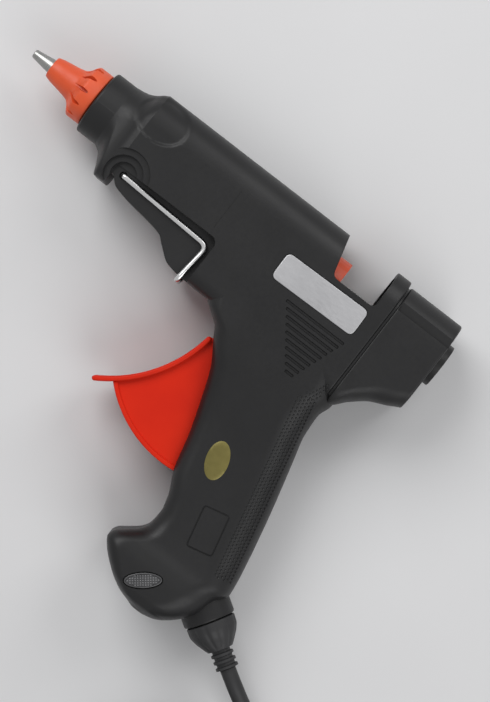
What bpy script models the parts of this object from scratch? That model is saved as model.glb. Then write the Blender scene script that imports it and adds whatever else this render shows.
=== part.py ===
"""Mains hot glue applicator for 11 mm sticks, lying on its right side.

The gun frame has X along the stick's axis with the nozzle at -X, +Y up the gun and +Z
out of its left side. Its origin is on the stick's axis, at the rear of the inlet collar.
Everything is modelled in that frame, and one empty then lays the gun on its side.
A distance ahead is measured along -X from that origin, and a depth along -Y. Metres.
"""
import math

import bmesh
import bpy
import numpy as np
from mathutils import Matrix, Vector

# General clearances and cuts
GAP = 0.0003
RUNNING_GAP = 0.0004
OVERRUN = 0.004
WELD_DISTANCE = 0.000001

# The chain of places along the stick, from the rear face to the nozzle's tip
REAR_FACE_AHEAD = 0.0028
REAR_PANEL_LENGTH = 0.0240
SEAM_AHEAD = REAR_FACE_AHEAD + REAR_PANEL_LENGTH
SEAM_TO_WINDOW = 0.0065
WINDOW_REAR_AHEAD = SEAM_AHEAD + SEAM_TO_WINDOW
WINDOW_TO_CARRIAGE = 0.0152
CARRIAGE_REAR_AHEAD = WINDOW_REAR_AHEAD + WINDOW_TO_CARRIAGE
CARRIAGE_LENGTH = 0.0215
CARRIAGE_FRONT_AHEAD = CARRIAGE_REAR_AHEAD + CARRIAGE_LENGTH
CARRIAGE_ROOM = 0.0130
FUNNEL_REAR_AHEAD = CARRIAGE_FRONT_AHEAD + CARRIAGE_ROOM
FUNNEL_TAIL = 0.0130
CHAMBER_REAR_AHEAD = FUNNEL_REAR_AHEAD + FUNNEL_TAIL
CHAMBER_LENGTH = 0.0490
CHAMBER_SHOULDER_AHEAD = CHAMBER_REAR_AHEAD + CHAMBER_LENGTH
NOSE_ROOM = 0.0150
NOSE_AHEAD = CHAMBER_SHOULDER_AHEAD + NOSE_ROOM
NOSE_LENGTH = 0.0088
FLARE_AHEAD = NOSE_AHEAD - NOSE_LENGTH
FLARE_LENGTH = 0.0119
BARREL_AHEAD = FLARE_AHEAD - FLARE_LENGTH
NOZZLE_REACH = 0.0293
GUN_REACH = NOSE_AHEAD + NOZZLE_REACH

# Barrel
NOSE_RADIUS = 0.0130
BARREL_HALF_WIDTH = 0.0180
ROOF_HEIGHT = 0.0177
REAR_ROOF_HEIGHT = 0.0162
ROOF_FILLET = 0.0120
LOBE_DEPTH = 0.0223
CHIN_DEPTH = 0.0175
BELLY_DEPTH = 0.0330
ROOT_DEPTH = 0.0226
HEEL_DEPTH = 0.0368
REAR_CORNER_DEPTH = 0.0212
BELLY_FILLET = 0.0050
REAR_FILLET = 0.0080
WALL = 0.0022
PARTING_GAP = 0.0003
SEAM_WIDTH = 0.0009
SEAM_DEPTH = 0.0008
REAR_LEDGE_HEIGHT = 0.0063
REAR_LEDGE_STEP = 0.0014
ARC_SEGMENTS = 4
BELLY_CAVITY_FRONT_INSET = 0.0061
BELLY_CAVITY_FRONT = BARREL_AHEAD - BELLY_CAVITY_FRONT_INSET
BELLY_CAVITY_POINTS = 8

# Grip
GRIP_DEPTH = 0.1386
GRIP_ROOT_DEPTH = 0.0140
GRIP_HALF_WIDTH = 0.0144
BUTT_HALF_WIDTH = 0.0180
GRIP_WALL = 0.0024
GRIP_SPREAD = 0.0620
GRIP_TOP_LEVELS = 11
BUTT_LEVELS = 8
INNER_LEVELS = 11
BUTT_START_SHARE = 0.72
INNER_BUTT_SHARES = (0.860, 0.945, 0.975)

# Window notch
WINDOW_LENGTH = 0.0229
WINDOW_FRONT_AHEAD = WINDOW_REAR_AHEAD + WINDOW_LENGTH
WINDOW_SLANT = 0.0042
WINDOW_SILL = 0.0015
WINDOW_CORNER = 0.0022
WINDOW_CORNER_START_SHARE = 1.12

# Oval dish and groove field
DISH_SETBACK = 0.0041
DISH_AHEAD = BARREL_AHEAD - DISH_SETBACK
DISH_HEIGHT = 0.0085
DISH_LENGTH = 0.0205
DISH_WIDTH = 0.0165
DISH_DEPTH = 0.0007
GROOVE_COUNT = 10
GROOVE_PITCH = 0.00228
GROOVE_WIDTH = 0.0009
GROOVE_DEPTH = 0.0007
GROOVE_TOP_DEPTH = 0.0152
SEAM_TO_GROOVES = 0.0070
GROOVE_REAR_AHEAD = SEAM_AHEAD + SEAM_TO_GROOVES
GROOVE_TOP_LENGTH = 0.0262
GROOVE_LOW_LENGTH = 0.0036
GROOVE_FRONT_DRIFT = 0.0152

# Switch outline on the grip
SWITCH_AHEAD = 0.0312
SWITCH_RISE = 0.0391
SWITCH_DROP = GRIP_DEPTH - SWITCH_RISE
SWITCH_LENGTH = 0.0165
SWITCH_WIDTH = 0.0106
SWITCH_CORNER = 0.0016
SWITCH_LINE = 0.0006
SWITCH_LINE_DEPTH = 0.0005
GRIP_LEAN = math.radians(10.0)

# Nozzle and boot: distances along are from the nozzle's tip
NOZZLE_OUTLET_RADIUS = 0.0008
TIP_RADIUS = 0.0016
TIP_SHOULDER_RADIUS = 0.0030
TIP_SHOULDER_ALONG = 0.0093
NOZZLE_FLARE_RADIUS = 0.0052
NOZZLE_FLARE_ALONG = 0.0190
NOZZLE_FOOT_RADIUS = 0.0068
NOZZLE_FOOT_ALONG = 0.0216
NOZZLE_SPIGOT_ALONG = 0.0313
NOZZLE_END_ALONG = 0.0388
NOZZLE_SPIGOT_RADIUS = 0.0046
NOZZLE_BORE_RADIUS = 0.0026
NOZZLE_BORE_ALONG = 0.0120
NOZZLE_OUTLET_ALONG = 0.0060
BOOT_START_ALONG = 0.0083
BOOT_WALL = 0.0009
BOOT_FOOT_RADIUS = 0.0109
BOOT_FOOT_ALONG = 0.0228
BOOT_END_ALONG = 0.0290
BOOT_SHOULDER_RADIUS = 0.0080
BOOT_SHOULDER_ALONG = 0.0208
BOOT_FIN_COUNT = 12
BOOT_FIN_GAP = 0.0013
BOOT_FIN_DEPTH = 0.0026
BOOT_FIN_ALONG = 0.0205

# Melt chamber, its heater channel and the heater stack
CHAMBER_RADIUS = 0.0085
CHAMBER_BORE_RADIUS = 0.0059
CHAMBER_NECK_RADIUS = 0.0066
CHAMBER_NECK_BORE_RADIUS = 0.0049
CHAMBER_NECK_BORE_LENGTH = 0.0080
CHAMBER_SEAT_TAPER = 0.0010
NOSE_BORE_RADIUS = 0.0072
FRONT_RING_RADIUS = 0.0105
FRONT_RING_BORE_RADIUS = 0.0070
FRONT_RING_THICKNESS = 0.0030
HEATER_SETBACK = 0.0140
HEATER_LENGTH = 0.0265
HEATER_FRONT_AHEAD = CHAMBER_SHOULDER_AHEAD - HEATER_SETBACK
HEATER_REAR_AHEAD = HEATER_FRONT_AHEAD - HEATER_LENGTH
CHAMBER_RIB_INSETS = (0.0085, 0.0260)
HEATER_HALF_WIDTH = 0.0092
HEATER_DEPTH = 0.0190
POCKET_TOP_DEPTH = 0.0098
POCKET_HALF_WIDTH = 0.0078
SLEEVE_HEIGHT = 0.0054
SLEEVE_WALL = 0.0004
ELECTRODE_THICKNESS = 0.0006
ELECTRODE_HALF_WIDTH = 0.0066
PTC_THICKNESS = 0.0022
PTC_HALF_WIDTH = 0.0060
WEDGE_THICKNESS = 0.0014
STACK_OVERHANG = 0.0005
STACK_LENGTH = HEATER_LENGTH + STACK_OVERHANG
TAB_LENGTH = 0.0035
TAB_WIDTH = 0.0030
TAB_SIDE = 0.0035

# Inlet sleeve behind the chamber
FUNNEL_LAP = 0.0060
FUNNEL_NECK_LENGTH = 0.0060
FUNNEL_FRONT_AHEAD = CHAMBER_REAR_AHEAD + FUNNEL_LAP
FUNNEL_NECK_AHEAD = CHAMBER_REAR_AHEAD - FUNNEL_NECK_LENGTH
FUNNEL_WALL = 0.0012
FUNNEL_REAR_WALL = 0.0014
FUNNEL_BORE_RADIUS = 0.0062
CLIP_SETBACK = 0.0042
CLIP_AHEAD = FUNNEL_FRONT_AHEAD - CLIP_SETBACK
CLIP_WIRE_RADIUS = 0.0006

# Feed carriage, its clamp lever and spring
CARRIAGE_RADIUS = 0.0098
CARRIAGE_BORE_RADIUS = 0.0064
CARRIAGE_EAR_INNER = 0.0039
CARRIAGE_EAR_THICKNESS = 0.0022
CARRIAGE_WING_HALF_SPAN = 0.0130
CARRIAGE_WING_THICKNESS = 0.0024
CARRIAGE_WING_DEPTH = 0.0028
CLAMP_INSET = 0.0075
CLAMP_AHEAD = CARRIAGE_REAR_AHEAD + CLAMP_INSET
CLAMP_DEPTH = 0.0134
CLAMP_HUB_RADIUS = 0.0033
CLAMP_TOOTH_REACH = 0.0060
CLAMP_TOOTH_RISE = 0.0065
CLAMP_TOOTH_AHEAD = CLAMP_AHEAD + CLAMP_TOOTH_REACH
CLAMP_TOOTH_DEPTH = CLAMP_DEPTH - CLAMP_TOOTH_RISE
CLAMP_DRIVE_DROP = 0.0069
CLAMP_HALF_WIDTH = 0.0034
CLAMP_TEETH = 4
PIN_RADIUS = 0.0015
RAIL_THICKNESS = 0.0016
RAIL_FRONT_OVERLAP = 0.0010
RAIL_REAR_INSET = 0.0125
RAIL_FRONT_AHEAD = FUNNEL_REAR_AHEAD + RAIL_FRONT_OVERLAP
RAIL_REAR_AHEAD = CARRIAGE_REAR_AHEAD - RAIL_REAR_INSET
SPRING_DEPTH = 0.0085
SPRING_SIDE = 0.0110
SPRING_RADIUS = 0.0018
SPRING_WIRE_RADIUS = 0.00035
SPRING_CURLS = 9
SPRING_POINTS_PER_CURL = 8
SPRING_LUG_INSET = 0.0006
SPRING_LENGTH = 0.0201
SPRING_START_AHEAD = CARRIAGE_REAR_AHEAD + SPRING_LUG_INSET
SPRING_END_AHEAD = SPRING_START_AHEAD - SPRING_LENGTH
SPRING_TAIL = 0.0016
LUG_THICKNESS = 0.0018
LUG_SIDE = 0.0128
CARRIAGE_EAR_FRONT_INSET = 0.0055
CARRIAGE_SLOT_FRONT_INSET = 0.0045
CARRIAGE_SLOT_REAR_INSET = 0.0035
CARRIAGE_WING_FRONT_INSET = 0.0020
CARRIAGE_WING_REAR_INSET = 0.0035
CARRIAGE_EAR_FRONT_AHEAD = CARRIAGE_FRONT_AHEAD - CARRIAGE_EAR_FRONT_INSET
CARRIAGE_SLOT_FRONT_AHEAD = CARRIAGE_FRONT_AHEAD - CARRIAGE_SLOT_FRONT_INSET
CARRIAGE_SLOT_REAR_AHEAD = CARRIAGE_REAR_AHEAD + CARRIAGE_SLOT_REAR_INSET
CARRIAGE_WING_FRONT_AHEAD = CARRIAGE_FRONT_AHEAD - CARRIAGE_WING_FRONT_INSET
CARRIAGE_WING_REAR_AHEAD = CARRIAGE_REAR_AHEAD + CARRIAGE_WING_REAR_INSET
CLAMP_ARM_RADIUS = 0.0029
CLAMP_TOOTH_HEIGHT = 0.0010
CLAMP_PIVOT_HALF_LENGTH = 0.0064
CLAMP_DRIVE_HALF_LENGTH = 0.0088

# Trigger
TRIGGER_LEAD = 0.0042
ARM_HEIGHT = 0.0240
TRIGGER_AHEAD = CLAMP_AHEAD + TRIGGER_LEAD
TRIGGER_DEPTH = CLAMP_DEPTH + CLAMP_DRIVE_DROP + ARM_HEIGHT
TRIGGER_RADIUS = 0.0463
TRIGGER_HALF_WIDTH = 0.0070
TRIGGER_POCKET_HALF_WIDTH = 0.0052
TRIGGER_POCKET_INNER = 0.0090
TRIGGER_POCKET_OUTER = 0.0445
TRIGGER_POCKET_START = math.radians(229.0)
TRIGGER_POCKET_END = math.radians(300.0)
TRIGGER_FACE_HALF_WIDTH = 0.0095
TRIGGER_FACE_THICKNESS = 0.0020
TRIGGER_RIM_HALF_WIDTH = 0.0082
TRIGGER_RIM_THICKNESS = 0.0017
TRIGGER_HUB_RADIUS = 0.0048
TRIGGER_HUB_HALF_WIDTH = 0.0086
TRIGGER_PIN_RADIUS = 0.0015
TRIGGER_PIN_HALF_LENGTH = 0.0128
TRIGGER_BOSS_RADIUS = 0.0040
TRIGGER_SWING = math.radians(30.0)
ARM_HALF_WIDTH = 0.0034
ARM_INNER = 0.0066
ARM_THICKNESS = 0.0022
RIM_START_ANGLE = math.radians(226.5)
RIM_END_ANGLE = math.radians(282.0)
SLOT_HALF_WIDTH = 0.0087
SLOT_FRONT_REACH = 0.0268
SLOT_REAR_REACH = 0.0162
SLOT_TOP_RISE = 0.0043
SLOT_CLEARANCE = 0.0012
SLOT_FRONT_AHEAD = TRIGGER_AHEAD + SLOT_FRONT_REACH
SLOT_REAR_AHEAD = TRIGGER_AHEAD - SLOT_REAR_REACH
SLOT_TOP_DEPTH = TRIGGER_DEPTH - SLOT_TOP_RISE
SLOT_LOW_DEPTH = TRIGGER_DEPTH + TRIGGER_RADIUS + SLOT_CLEARANCE
FACE_TOP_REACH = 0.0144
FACE_TOP_RISE = 0.0013
TOE_REACH = 0.0394
TOE_DROP = 0.0363
FACE_TOP_AHEAD = TRIGGER_AHEAD + FACE_TOP_REACH
FACE_TOP_DEPTH = TRIGGER_DEPTH - FACE_TOP_RISE
TOE_AHEAD = TRIGGER_AHEAD + TOE_REACH
TOE_DEPTH = TRIGGER_DEPTH + TOE_DROP
FACE_HOLLOW = 0.0052

# Wire stand
STAND_SETBACK = 0.0045
STAND_AHEAD = BARREL_AHEAD - STAND_SETBACK
STAND_DEPTH = 0.0160
STAND_WIRE_RADIUS = 0.0011
STAND_ARM = 0.0402
STAND_ARM_DROP = 0.0017
STAND_LEG_FORWARD = 0.0017
STAND_BEND = 0.0035
STAND_INNER_BEND = 0.0022
BAND_HALF_WIDTH = 0.0123
BAND_TOP_RISE = 0.0022
BAND_TOP_DEPTH = STAND_DEPTH - BAND_TOP_RISE
BAND_REAR_CLEARANCE = 0.0018
BAND_REAR_AHEAD = STAND_AHEAD - STAND_ARM - BAND_REAR_CLEARANCE
BOSS_STEP = 0.0025
BOSS_STEPS = 3
BOSS_STEP_START_SHARE = 0.35
STAND_PIVOT_INNER = 0.0109
STAND_ARM_SIDE = 0.0137
STAND_LEG_DEPTH = 0.0342
STAND_HOLE_RADIUS = 0.0015

# Stick inlet collar
COLLAR_RADIUS = 0.0086
COLLAR_BORE_RADIUS = 0.0062
COLLAR_FLANGE_RADIUS = 0.0102
COLLAR_FLANGE_THICKNESS = 0.0015
COLLAR_SLEEVE_RADIUS = 0.0078
COLLAR_LENGTH = 0.0150

# Screws: ahead, depth, and the boss they drive into
LOBE_SCREW_LEAD = 0.0032
LOBE_SCREW_DEPTH = 0.0172
ROOF_SCREW_LEAD = 0.0115
ROOF_SCREW_HEIGHT = 0.0124
BELLY_SCREW_LEAD = 0.0106
BELLY_SCREW_DEPTH = 0.0270
SEAM_SCREW_LEAD = 0.0034
GRIP_SCREW_AHEAD = 0.0300
GRIP_SCREW_RISE = 0.0346
BUTT_SCREW_AHEAD = 0.0500
BUTT_SCREW_RISE = 0.0166
SCREW_PLACES = (
    (BARREL_AHEAD + LOBE_SCREW_LEAD, LOBE_SCREW_DEPTH),
    (HEATER_REAR_AHEAD + ROOF_SCREW_LEAD, -ROOF_SCREW_HEIGHT),
    (FACE_TOP_AHEAD + BELLY_SCREW_LEAD, BELLY_SCREW_DEPTH),
    (SEAM_AHEAD + SEAM_SCREW_LEAD, ROOT_DEPTH),
    (GRIP_SCREW_AHEAD, GRIP_DEPTH - GRIP_SCREW_RISE),
    (BUTT_SCREW_AHEAD, GRIP_DEPTH - BUTT_SCREW_RISE))
SCREW_RADIUS = 0.0013
SCREW_HEAD_RADIUS = 0.0022
SCREW_HEAD_HEIGHT = 0.0018
SCREW_BOSS_RADIUS = 0.0034
SCREW_SHOULDER = 0.0060
SCREW_BITE = 0.0090

# Butt: indicator, cord outlet, clamp and leads
LENS_AHEAD = 0.0390
LENS_RISE = 0.0106
LENS_DROP = GRIP_DEPTH - LENS_RISE
LENS_LENGTH = 0.0140
LENS_WIDTH = 0.0056
LENS_ANGLE = math.radians(38.9)
LENS_FLANGE = 0.0006
LENS_SINK = 0.0036
LENS_SEAT_SIDE = BUTT_HALF_WIDTH - LENS_SINK
LENS_FLANGE_THICKNESS = 0.0010
LAMP_RADIUS = 0.0024
LAMP_LENGTH = 0.0110
OUTLET_AHEAD = 0.0146
OUTLET_RISE = 0.0154
OUTLET_DEPTH = GRIP_DEPTH - OUTLET_RISE
OUTLET_ANGLE = math.radians(-32.0)
SOCKET_RADIUS = 0.0098
SOCKET_LENGTH = 0.0052
BOOT_NECK_RADIUS = 0.0066
BOOT_ROOT_RADIUS = 0.0093
BOOT_TIP_RADIUS = 0.0043
CORD_BOOT_LENGTH = 0.0240
CORD_BOOT_BELL_LENGTH = 0.0110
CORD_BOOT_RIBS = 3
CORD_BOOT_GROOVE = 0.0008
BOOT_FLANGE_RADIUS = 0.0082
BOOT_FLANGE_THICKNESS = 0.0018
SHEATH_LENGTH = 0.0125
CORD_RADIUS = 0.0030
CORD_CLAMP_ALONG = -0.0120
CORD_CLAMP_LENGTH = 0.0060
CORD_CLAMP_HEIGHT = 0.0055
CORD_CLAMP_HALF_SPAN = 0.0088
CORD_CLAMP_SCREW_OFFSET = 0.0062
CLAMP_SCREW_RADIUS = 0.0011
CLAMP_SCREW_HEAD_RADIUS = 0.0020
CLAMP_SCREW_HEAD_HEIGHT = 0.0014
CLAMP_SCREW_BITE = 0.0070
LEAD_RADIUS = 0.0008
JOINT_RADIUS = 0.0021
JOINT_LENGTH = 0.0090
JOINT_RISE = 0.0252
JOINT_DEPTH = OUTLET_DEPTH - JOINT_RISE
JOINT_AHEADS = (0.0372, 0.0425)
LEAD_BEND = 0.0040
LEAD_GRIP_SHARES = (
    (0.410, 0.943, 0.111), (0.273, 0.886, 0.111), (0.224, 0.706, 0.111),
    (0.256, 0.542, 0.111), (0.305, 0.379, 0.167), (0.355, 0.216, 0.333),
    (0.402, 0.085, 0.528))
LEAD_BARREL_SHARES = (
    (0.354, 0.897, 0.667), (0.574, 0.774, 0.689), (0.813, 0.576, 0.689),
    (0.856, 0.530, 0.472), (0.914, 0.380, 0.250))

# Cord on the floor: the coil's centre is ahead and depth in the gun frame, and the
# coil's heights are over the floor
COIL_AHEAD = -0.0273
COIL_DEPTH = 0.1988
COIL_LEAST_RADIUS = 0.0222
COIL_PITCH = 0.0066
COIL_INWARD_TURNS = 3
COIL_STEPS = 130
COIL_POINTS_PER_TURN = 24
COIL_START_BEARING = math.radians(60.0)
COIL_CLIMB_TURNS = 0.5
COIL_TURNING_ROUND = 0.06
COIL_LIFT = 0.0050
LEAD_POINTS = 18
TAIL_LENGTH = 0.0420
TAIL_POINTS = 14
TIE_CLEARANCE = 0.0007
TIE_FIRST_TURN_SHARE = COIL_START_BEARING / math.tau
TIE_THICKNESS = 0.0012
TIE_WIDTH = 0.0060
TIE_CORNER = 0.0040
PLUG_LENGTH = 0.0340
PLUG_HALF_WIDTH = 0.0176
PLUG_NECK_HALF_WIDTH = 0.0060
PLUG_NECK_LENGTH = 0.0070
PLUG_SHOULDER_LENGTH = 0.0200
PLUG_THICKNESS = 0.0137
PLUG_EDGE = 0.0016
PLUG_PIN_RADIUS = 0.0020
PLUG_PIN_LENGTH = 0.0190
PLUG_PIN_HALF_SPACING = 0.0093

# Profiles by shares. Flare rows: along the flare, and from the nose's to the barrel's
# roof, depth and half width. Belly rows: along from the chin to the belly's rear, and
# down from the chin to the belly. Grip rows: down the grip, and ahead within its spread.
FLARE_SHARES = ((0.00, 0.00, 0.00, 0.00), (0.22, 0.07, 0.16, 0.10), (0.45, 0.20, 0.60, 0.28),
                (0.64, 0.42, 1.00, 0.52), (0.84, 0.78, 1.00, 0.84), (1.00, 1.00, 1.00, 1.00))
BELLY_SHARES = ((0.00, 0.00), (0.07, 0.23), (0.43, 0.47), (0.485, 0.64), (0.59, 0.92),
                (0.69, 0.97), (1.00, 1.00))
REAR_UNDERSIDE_SHARES = ((0.04, 0.99), (0.29, 0.63), (0.54, 0.33), (0.80, 0.15), (0.96, 0.02))
GRIP_FRONT_SHARES = (
    (0.000, 1.290), (0.150, 1.200), (0.198, 1.077), (0.226, 1.040), (0.305, 0.940),
    (0.392, 0.873), (0.497, 0.803), (0.604, 0.748), (0.680, 0.677), (0.736, 0.652),
    (0.776, 0.658), (0.800, 0.681), (0.833, 0.756), (0.854, 0.806), (0.874, 0.819),
    (0.898, 0.790), (0.945, 0.687), (0.984, 0.558), (1.000, 0.458))
GRIP_BACK_SHARES = (
    (0.000, 0.300), (0.177, 0.235), (0.226, 0.263), (0.290, 0.255), (0.370, 0.215),
    (0.449, 0.173), (0.530, 0.132), (0.610, 0.095), (0.689, 0.061), (0.770, 0.032),
    (0.803, 0.026), (0.843, 0.079), (0.907, 0.119), (0.960, 0.203), (0.993, 0.298),
    (1.000, 0.361))
GRIP_WIDTH_SHARES = (
    (0.000, 1.0), (0.160, 1.0), (0.230, 0.88), (0.330, 0.42), (0.450, 0.08),
    (0.560, 0.0), (0.740, 0.02), (0.800, 0.25), (0.850, 0.75), (0.890, 1.0),
    (0.945, 1.0), (0.975, 0.60), (1.000, -1.0))
BELL_SHARES = ((0.00, 1.00), (0.28, 0.98), (0.52, 0.80), (0.76, 0.48), (1.00, 0.12))
GRIP_SPREAD_START_AHEAD = 0.0086
GRIP_FRONT_FILLET = 0.0066
GRIP_BACK_FILLET = 0.0110
FILLET_ROOM_SHARE = 0.98


def clear_scene():
    for obj in list(bpy.data.objects):
        bpy.data.objects.remove(obj, do_unlink=True)


clear_scene()
PARTS = bpy.data.collections.new("hot_glue_applicator")
CUTTERS = bpy.data.collections.new("cutters")
bpy.context.scene.collection.children.link(PARTS)
bpy.context.scene.collection.children.link(CUTTERS)
GUN = bpy.data.objects.new("gun_frame", None)
PARTS.objects.link(GUN)


def finish(name, colour, roughness, metallic=0.0):
    """A plain Principled material."""
    material = bpy.data.materials.new(name)
    material.use_nodes = True
    shader = material.node_tree.nodes["Principled BSDF"]
    shader.inputs["Base Color"].default_value = (*colour, 1.0)
    shader.inputs["Roughness"].default_value = roughness
    shader.inputs["Metallic"].default_value = metallic
    material.diffuse_color = (*colour, 1.0)
    return material


HOUSING_BLACK = finish("housing_black", (0.035, 0.035, 0.037), 0.42)
TRIGGER_ORANGE = finish("trigger_orange", (0.75, 0.06, 0.015), 0.38)
SILICONE_ORANGE = finish("silicone_orange", (0.80, 0.12, 0.03), 0.55)
SILICONE_PALE = finish("silicone_pale", (0.62, 0.60, 0.55), 0.6)
NOZZLE_METAL = finish("nozzle_metal", (0.62, 0.62, 0.60), 0.32, 1.0)
CAST_ALUMINIUM = finish("cast_aluminium", (0.58, 0.58, 0.58), 0.5, 1.0)
BRIGHT_WIRE = finish("bright_wire", (0.75, 0.75, 0.76), 0.15, 1.0)
ZINC_STEEL = finish("zinc_steel", (0.55, 0.56, 0.58), 0.35, 1.0)
DARK_CERAMIC = finish("dark_ceramic", (0.20, 0.19, 0.18), 0.7)
AMBER_FILM = finish("amber_film", (0.55, 0.28, 0.05), 0.3)
PHENOLIC = finish("phenolic", (0.12, 0.06, 0.03), 0.6)
LENS_SMOKE = finish("lens_smoke", (0.40, 0.40, 0.41), 0.25)
LAMP_GLASS = finish("lamp_glass", (0.80, 0.75, 0.70), 0.1)
CORD_BLACK = finish("cord_black", (0.03, 0.03, 0.03), 0.5)
LEAD_RED = finish("lead_red", (0.45, 0.05, 0.04), 0.5)


def own(obj, material):
    obj.data.materials.clear()
    obj.data.materials.append(material)
    return obj


def new_piece(name, data):
    obj = bpy.data.objects.new(name, data)
    PARTS.objects.link(obj)
    obj.parent = GUN
    return obj


def mesh_piece(name, bm):
    """A new object from a bmesh, with its faces turned outwards."""
    bmesh.ops.recalc_face_normals(bm, faces=bm.faces)
    mesh = bpy.data.meshes.new(name)
    bm.to_mesh(mesh)
    bm.free()
    return new_piece(name, mesh)


def boolean(target, tool, operation):
    """Cut or join with a tool, which moves to the cutters' collection."""
    if tool.name in PARTS.objects:
        PARTS.objects.unlink(tool)
        CUTTERS.objects.link(tool)
    tool.hide_render = True
    tool.display_type = "WIRE"
    modifier = target.modifiers.new(tool.name, "BOOLEAN")
    modifier.operation = operation
    modifier.solver = "EXACT"
    modifier.object = tool


def cut(target, *tools):
    for tool in tools:
        boolean(target, tool, "DIFFERENCE")


def join(target, *tools):
    for tool in tools:
        boolean(target, tool, "UNION")


def at(ahead, height, side=0.0):
    """A point by its distance ahead of the inlet, its height and its side."""
    return Vector((-ahead, height, side))


def box(name, low, high):
    """A box between two corners, in any order of their coordinates."""
    first = Vector(low)
    second = Vector(high)
    bm = bmesh.new()
    bmesh.ops.create_cube(bm, size=1.0)
    size = [abs(b - a) for a, b in zip(first, second)]
    bmesh.ops.scale(bm, vec=size, verts=bm.verts)
    bmesh.ops.translate(bm, vec=(first + second) / 2, verts=bm.verts)
    return mesh_piece(name, bm)


def turn_to(direction):
    """The rotation that takes +Z to a direction."""
    return Vector(direction).normalized().to_track_quat("Z", "Y").to_matrix().to_4x4()


def rod(name, start, end, radius, segments=20):
    """A cylinder from one point to another."""
    start = Vector(start)
    end = Vector(end)
    bm = bmesh.new()
    place = Matrix.Translation((start + end) / 2) @ turn_to(end - start)
    bmesh.ops.create_cone(bm, cap_ends=True, segments=segments, radius1=radius,
                          radius2=radius, depth=(end - start).length, matrix=place)
    return mesh_piece(name, bm)


def turned(name, profile, start, direction, steps=24):
    """Turn a profile of (radius, distance along) about a line. A profile that doesn't
    begin on the line is a closed loop, which makes a ring or a bored piece."""
    area = sum(a[0] * b[1] - b[0] * a[1] for a, b in zip(profile, profile[1:] + profile[:1]))
    points = list(profile) if area < 0 else list(reversed(profile))
    mesh = bpy.data.meshes.new(name)
    edges = [(i, i + 1) for i in range(len(points) - 1)]
    if profile[0][0] > 0:
        edges.append((len(points) - 1, 0))
    mesh.from_pydata([(radius, 0.0, along) for radius, along in points], edges, [])
    piece = new_piece(name, mesh)
    piece.matrix_local = Matrix.Translation(start) @ turn_to(direction)
    screw = piece.modifiers.new("turning", "SCREW")
    screw.steps = steps
    screw.render_steps = steps
    screw.use_merge_vertices = True
    screw.merge_threshold = WELD_DISTANCE
    screw.use_smooth_shade = True
    return piece


def plate(name, outlines, low, high):
    """A flat outline, with any inner outlines as holes, from one side level to another."""
    curve = bpy.data.curves.new(name, "CURVE")
    curve.dimensions = "2D"
    curve.fill_mode = "BOTH"
    curve.extrude = abs(high - low) / 2
    for outline in outlines:
        spline = curve.splines.new("POLY")
        spline.points.add(len(outline) - 1)
        for point, place in zip(spline.points, outline):
            point.co = (place[0], place[1], 0.0, 1.0)
        spline.use_cyclic_u = True
    guide = bpy.data.objects.new(name + "_guide", curve)
    guide.location.z = (low + high) / 2
    return meshed(name, guide)


def meshed(name, guide):
    """The welded mesh of a curve object, in the curve's place."""
    bpy.context.scene.collection.objects.link(guide)
    bpy.context.view_layer.update()
    graph = bpy.context.evaluated_depsgraph_get()
    mesh = bpy.data.meshes.new_from_object(guide.evaluated_get(graph))
    mesh.transform(guide.matrix_world)
    bpy.data.objects.remove(guide, do_unlink=True)
    bm = bmesh.new()
    bm.from_mesh(mesh)
    bmesh.ops.remove_doubles(bm, verts=bm.verts, dist=WELD_DISTANCE)
    return mesh_piece(name, bm)


def wire_guide(name, points, radius, resolution, closed=False):
    """A round tube along points, as a curve object."""
    curve = bpy.data.curves.new(name, "CURVE")
    curve.dimensions = "3D"
    curve.bevel_depth = radius
    curve.bevel_resolution = resolution
    curve.use_fill_caps = True
    spline = curve.splines.new("POLY")
    spline.points.add(len(points) - 1)
    for point, place in zip(spline.points, points):
        point.co = (*place, 1.0)
    spline.use_cyclic_u = closed
    return curve


def tube(name, points, radius, resolution=2, closed=False):
    return new_piece(name, wire_guide(name, points, radius, resolution, closed))


def arc(centre, radius, start, end, count):
    """Points on an arc, in the gun's side plane."""
    angles = np.linspace(start, end, count)
    return [(centre[0] + radius * math.cos(a), centre[1] + radius * math.sin(a)) for a in angles]


def capsule(start, end, radius, count=7):
    """The outline of a bar with round ends."""
    heading = math.atan2(end[1] - start[1], end[0] - start[0])
    quarter = math.pi / 2
    return (arc(end, radius, heading - quarter, heading + quarter, count)
            + arc(start, radius, heading + quarter, heading + 3 * quarter, count))


def rounded_box_outline(length, width, corner, centre, lean, count=4):
    """A rectangle with round corners, leaning about its centre."""
    points = []
    quarter = math.pi / 2
    for turn, (along, across) in enumerate(((1, 1), (-1, 1), (-1, -1), (1, -1))):
        middle = (along * (width / 2 - corner), across * (length / 2 - corner))
        points += arc(middle, corner, turn * quarter, (turn + 1) * quarter, count)
    rotate = Matrix.Rotation(lean, 2)
    return [tuple(rotate @ Vector(point) + Vector(centre[:2])) for point in points]


def oval(centre, length, width, angle, count=24):
    """An ellipse's outline, its length along an angle."""
    rotate = Matrix.Rotation(angle, 2)
    turns = np.linspace(0, math.tau, count, endpoint=False)
    return [tuple(rotate @ Vector((length / 2 * math.cos(t), width / 2 * math.sin(t)))
                  + Vector(centre[:2])) for t in turns]


def between(start, end, share):
    return start + (end - start) * share


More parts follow.
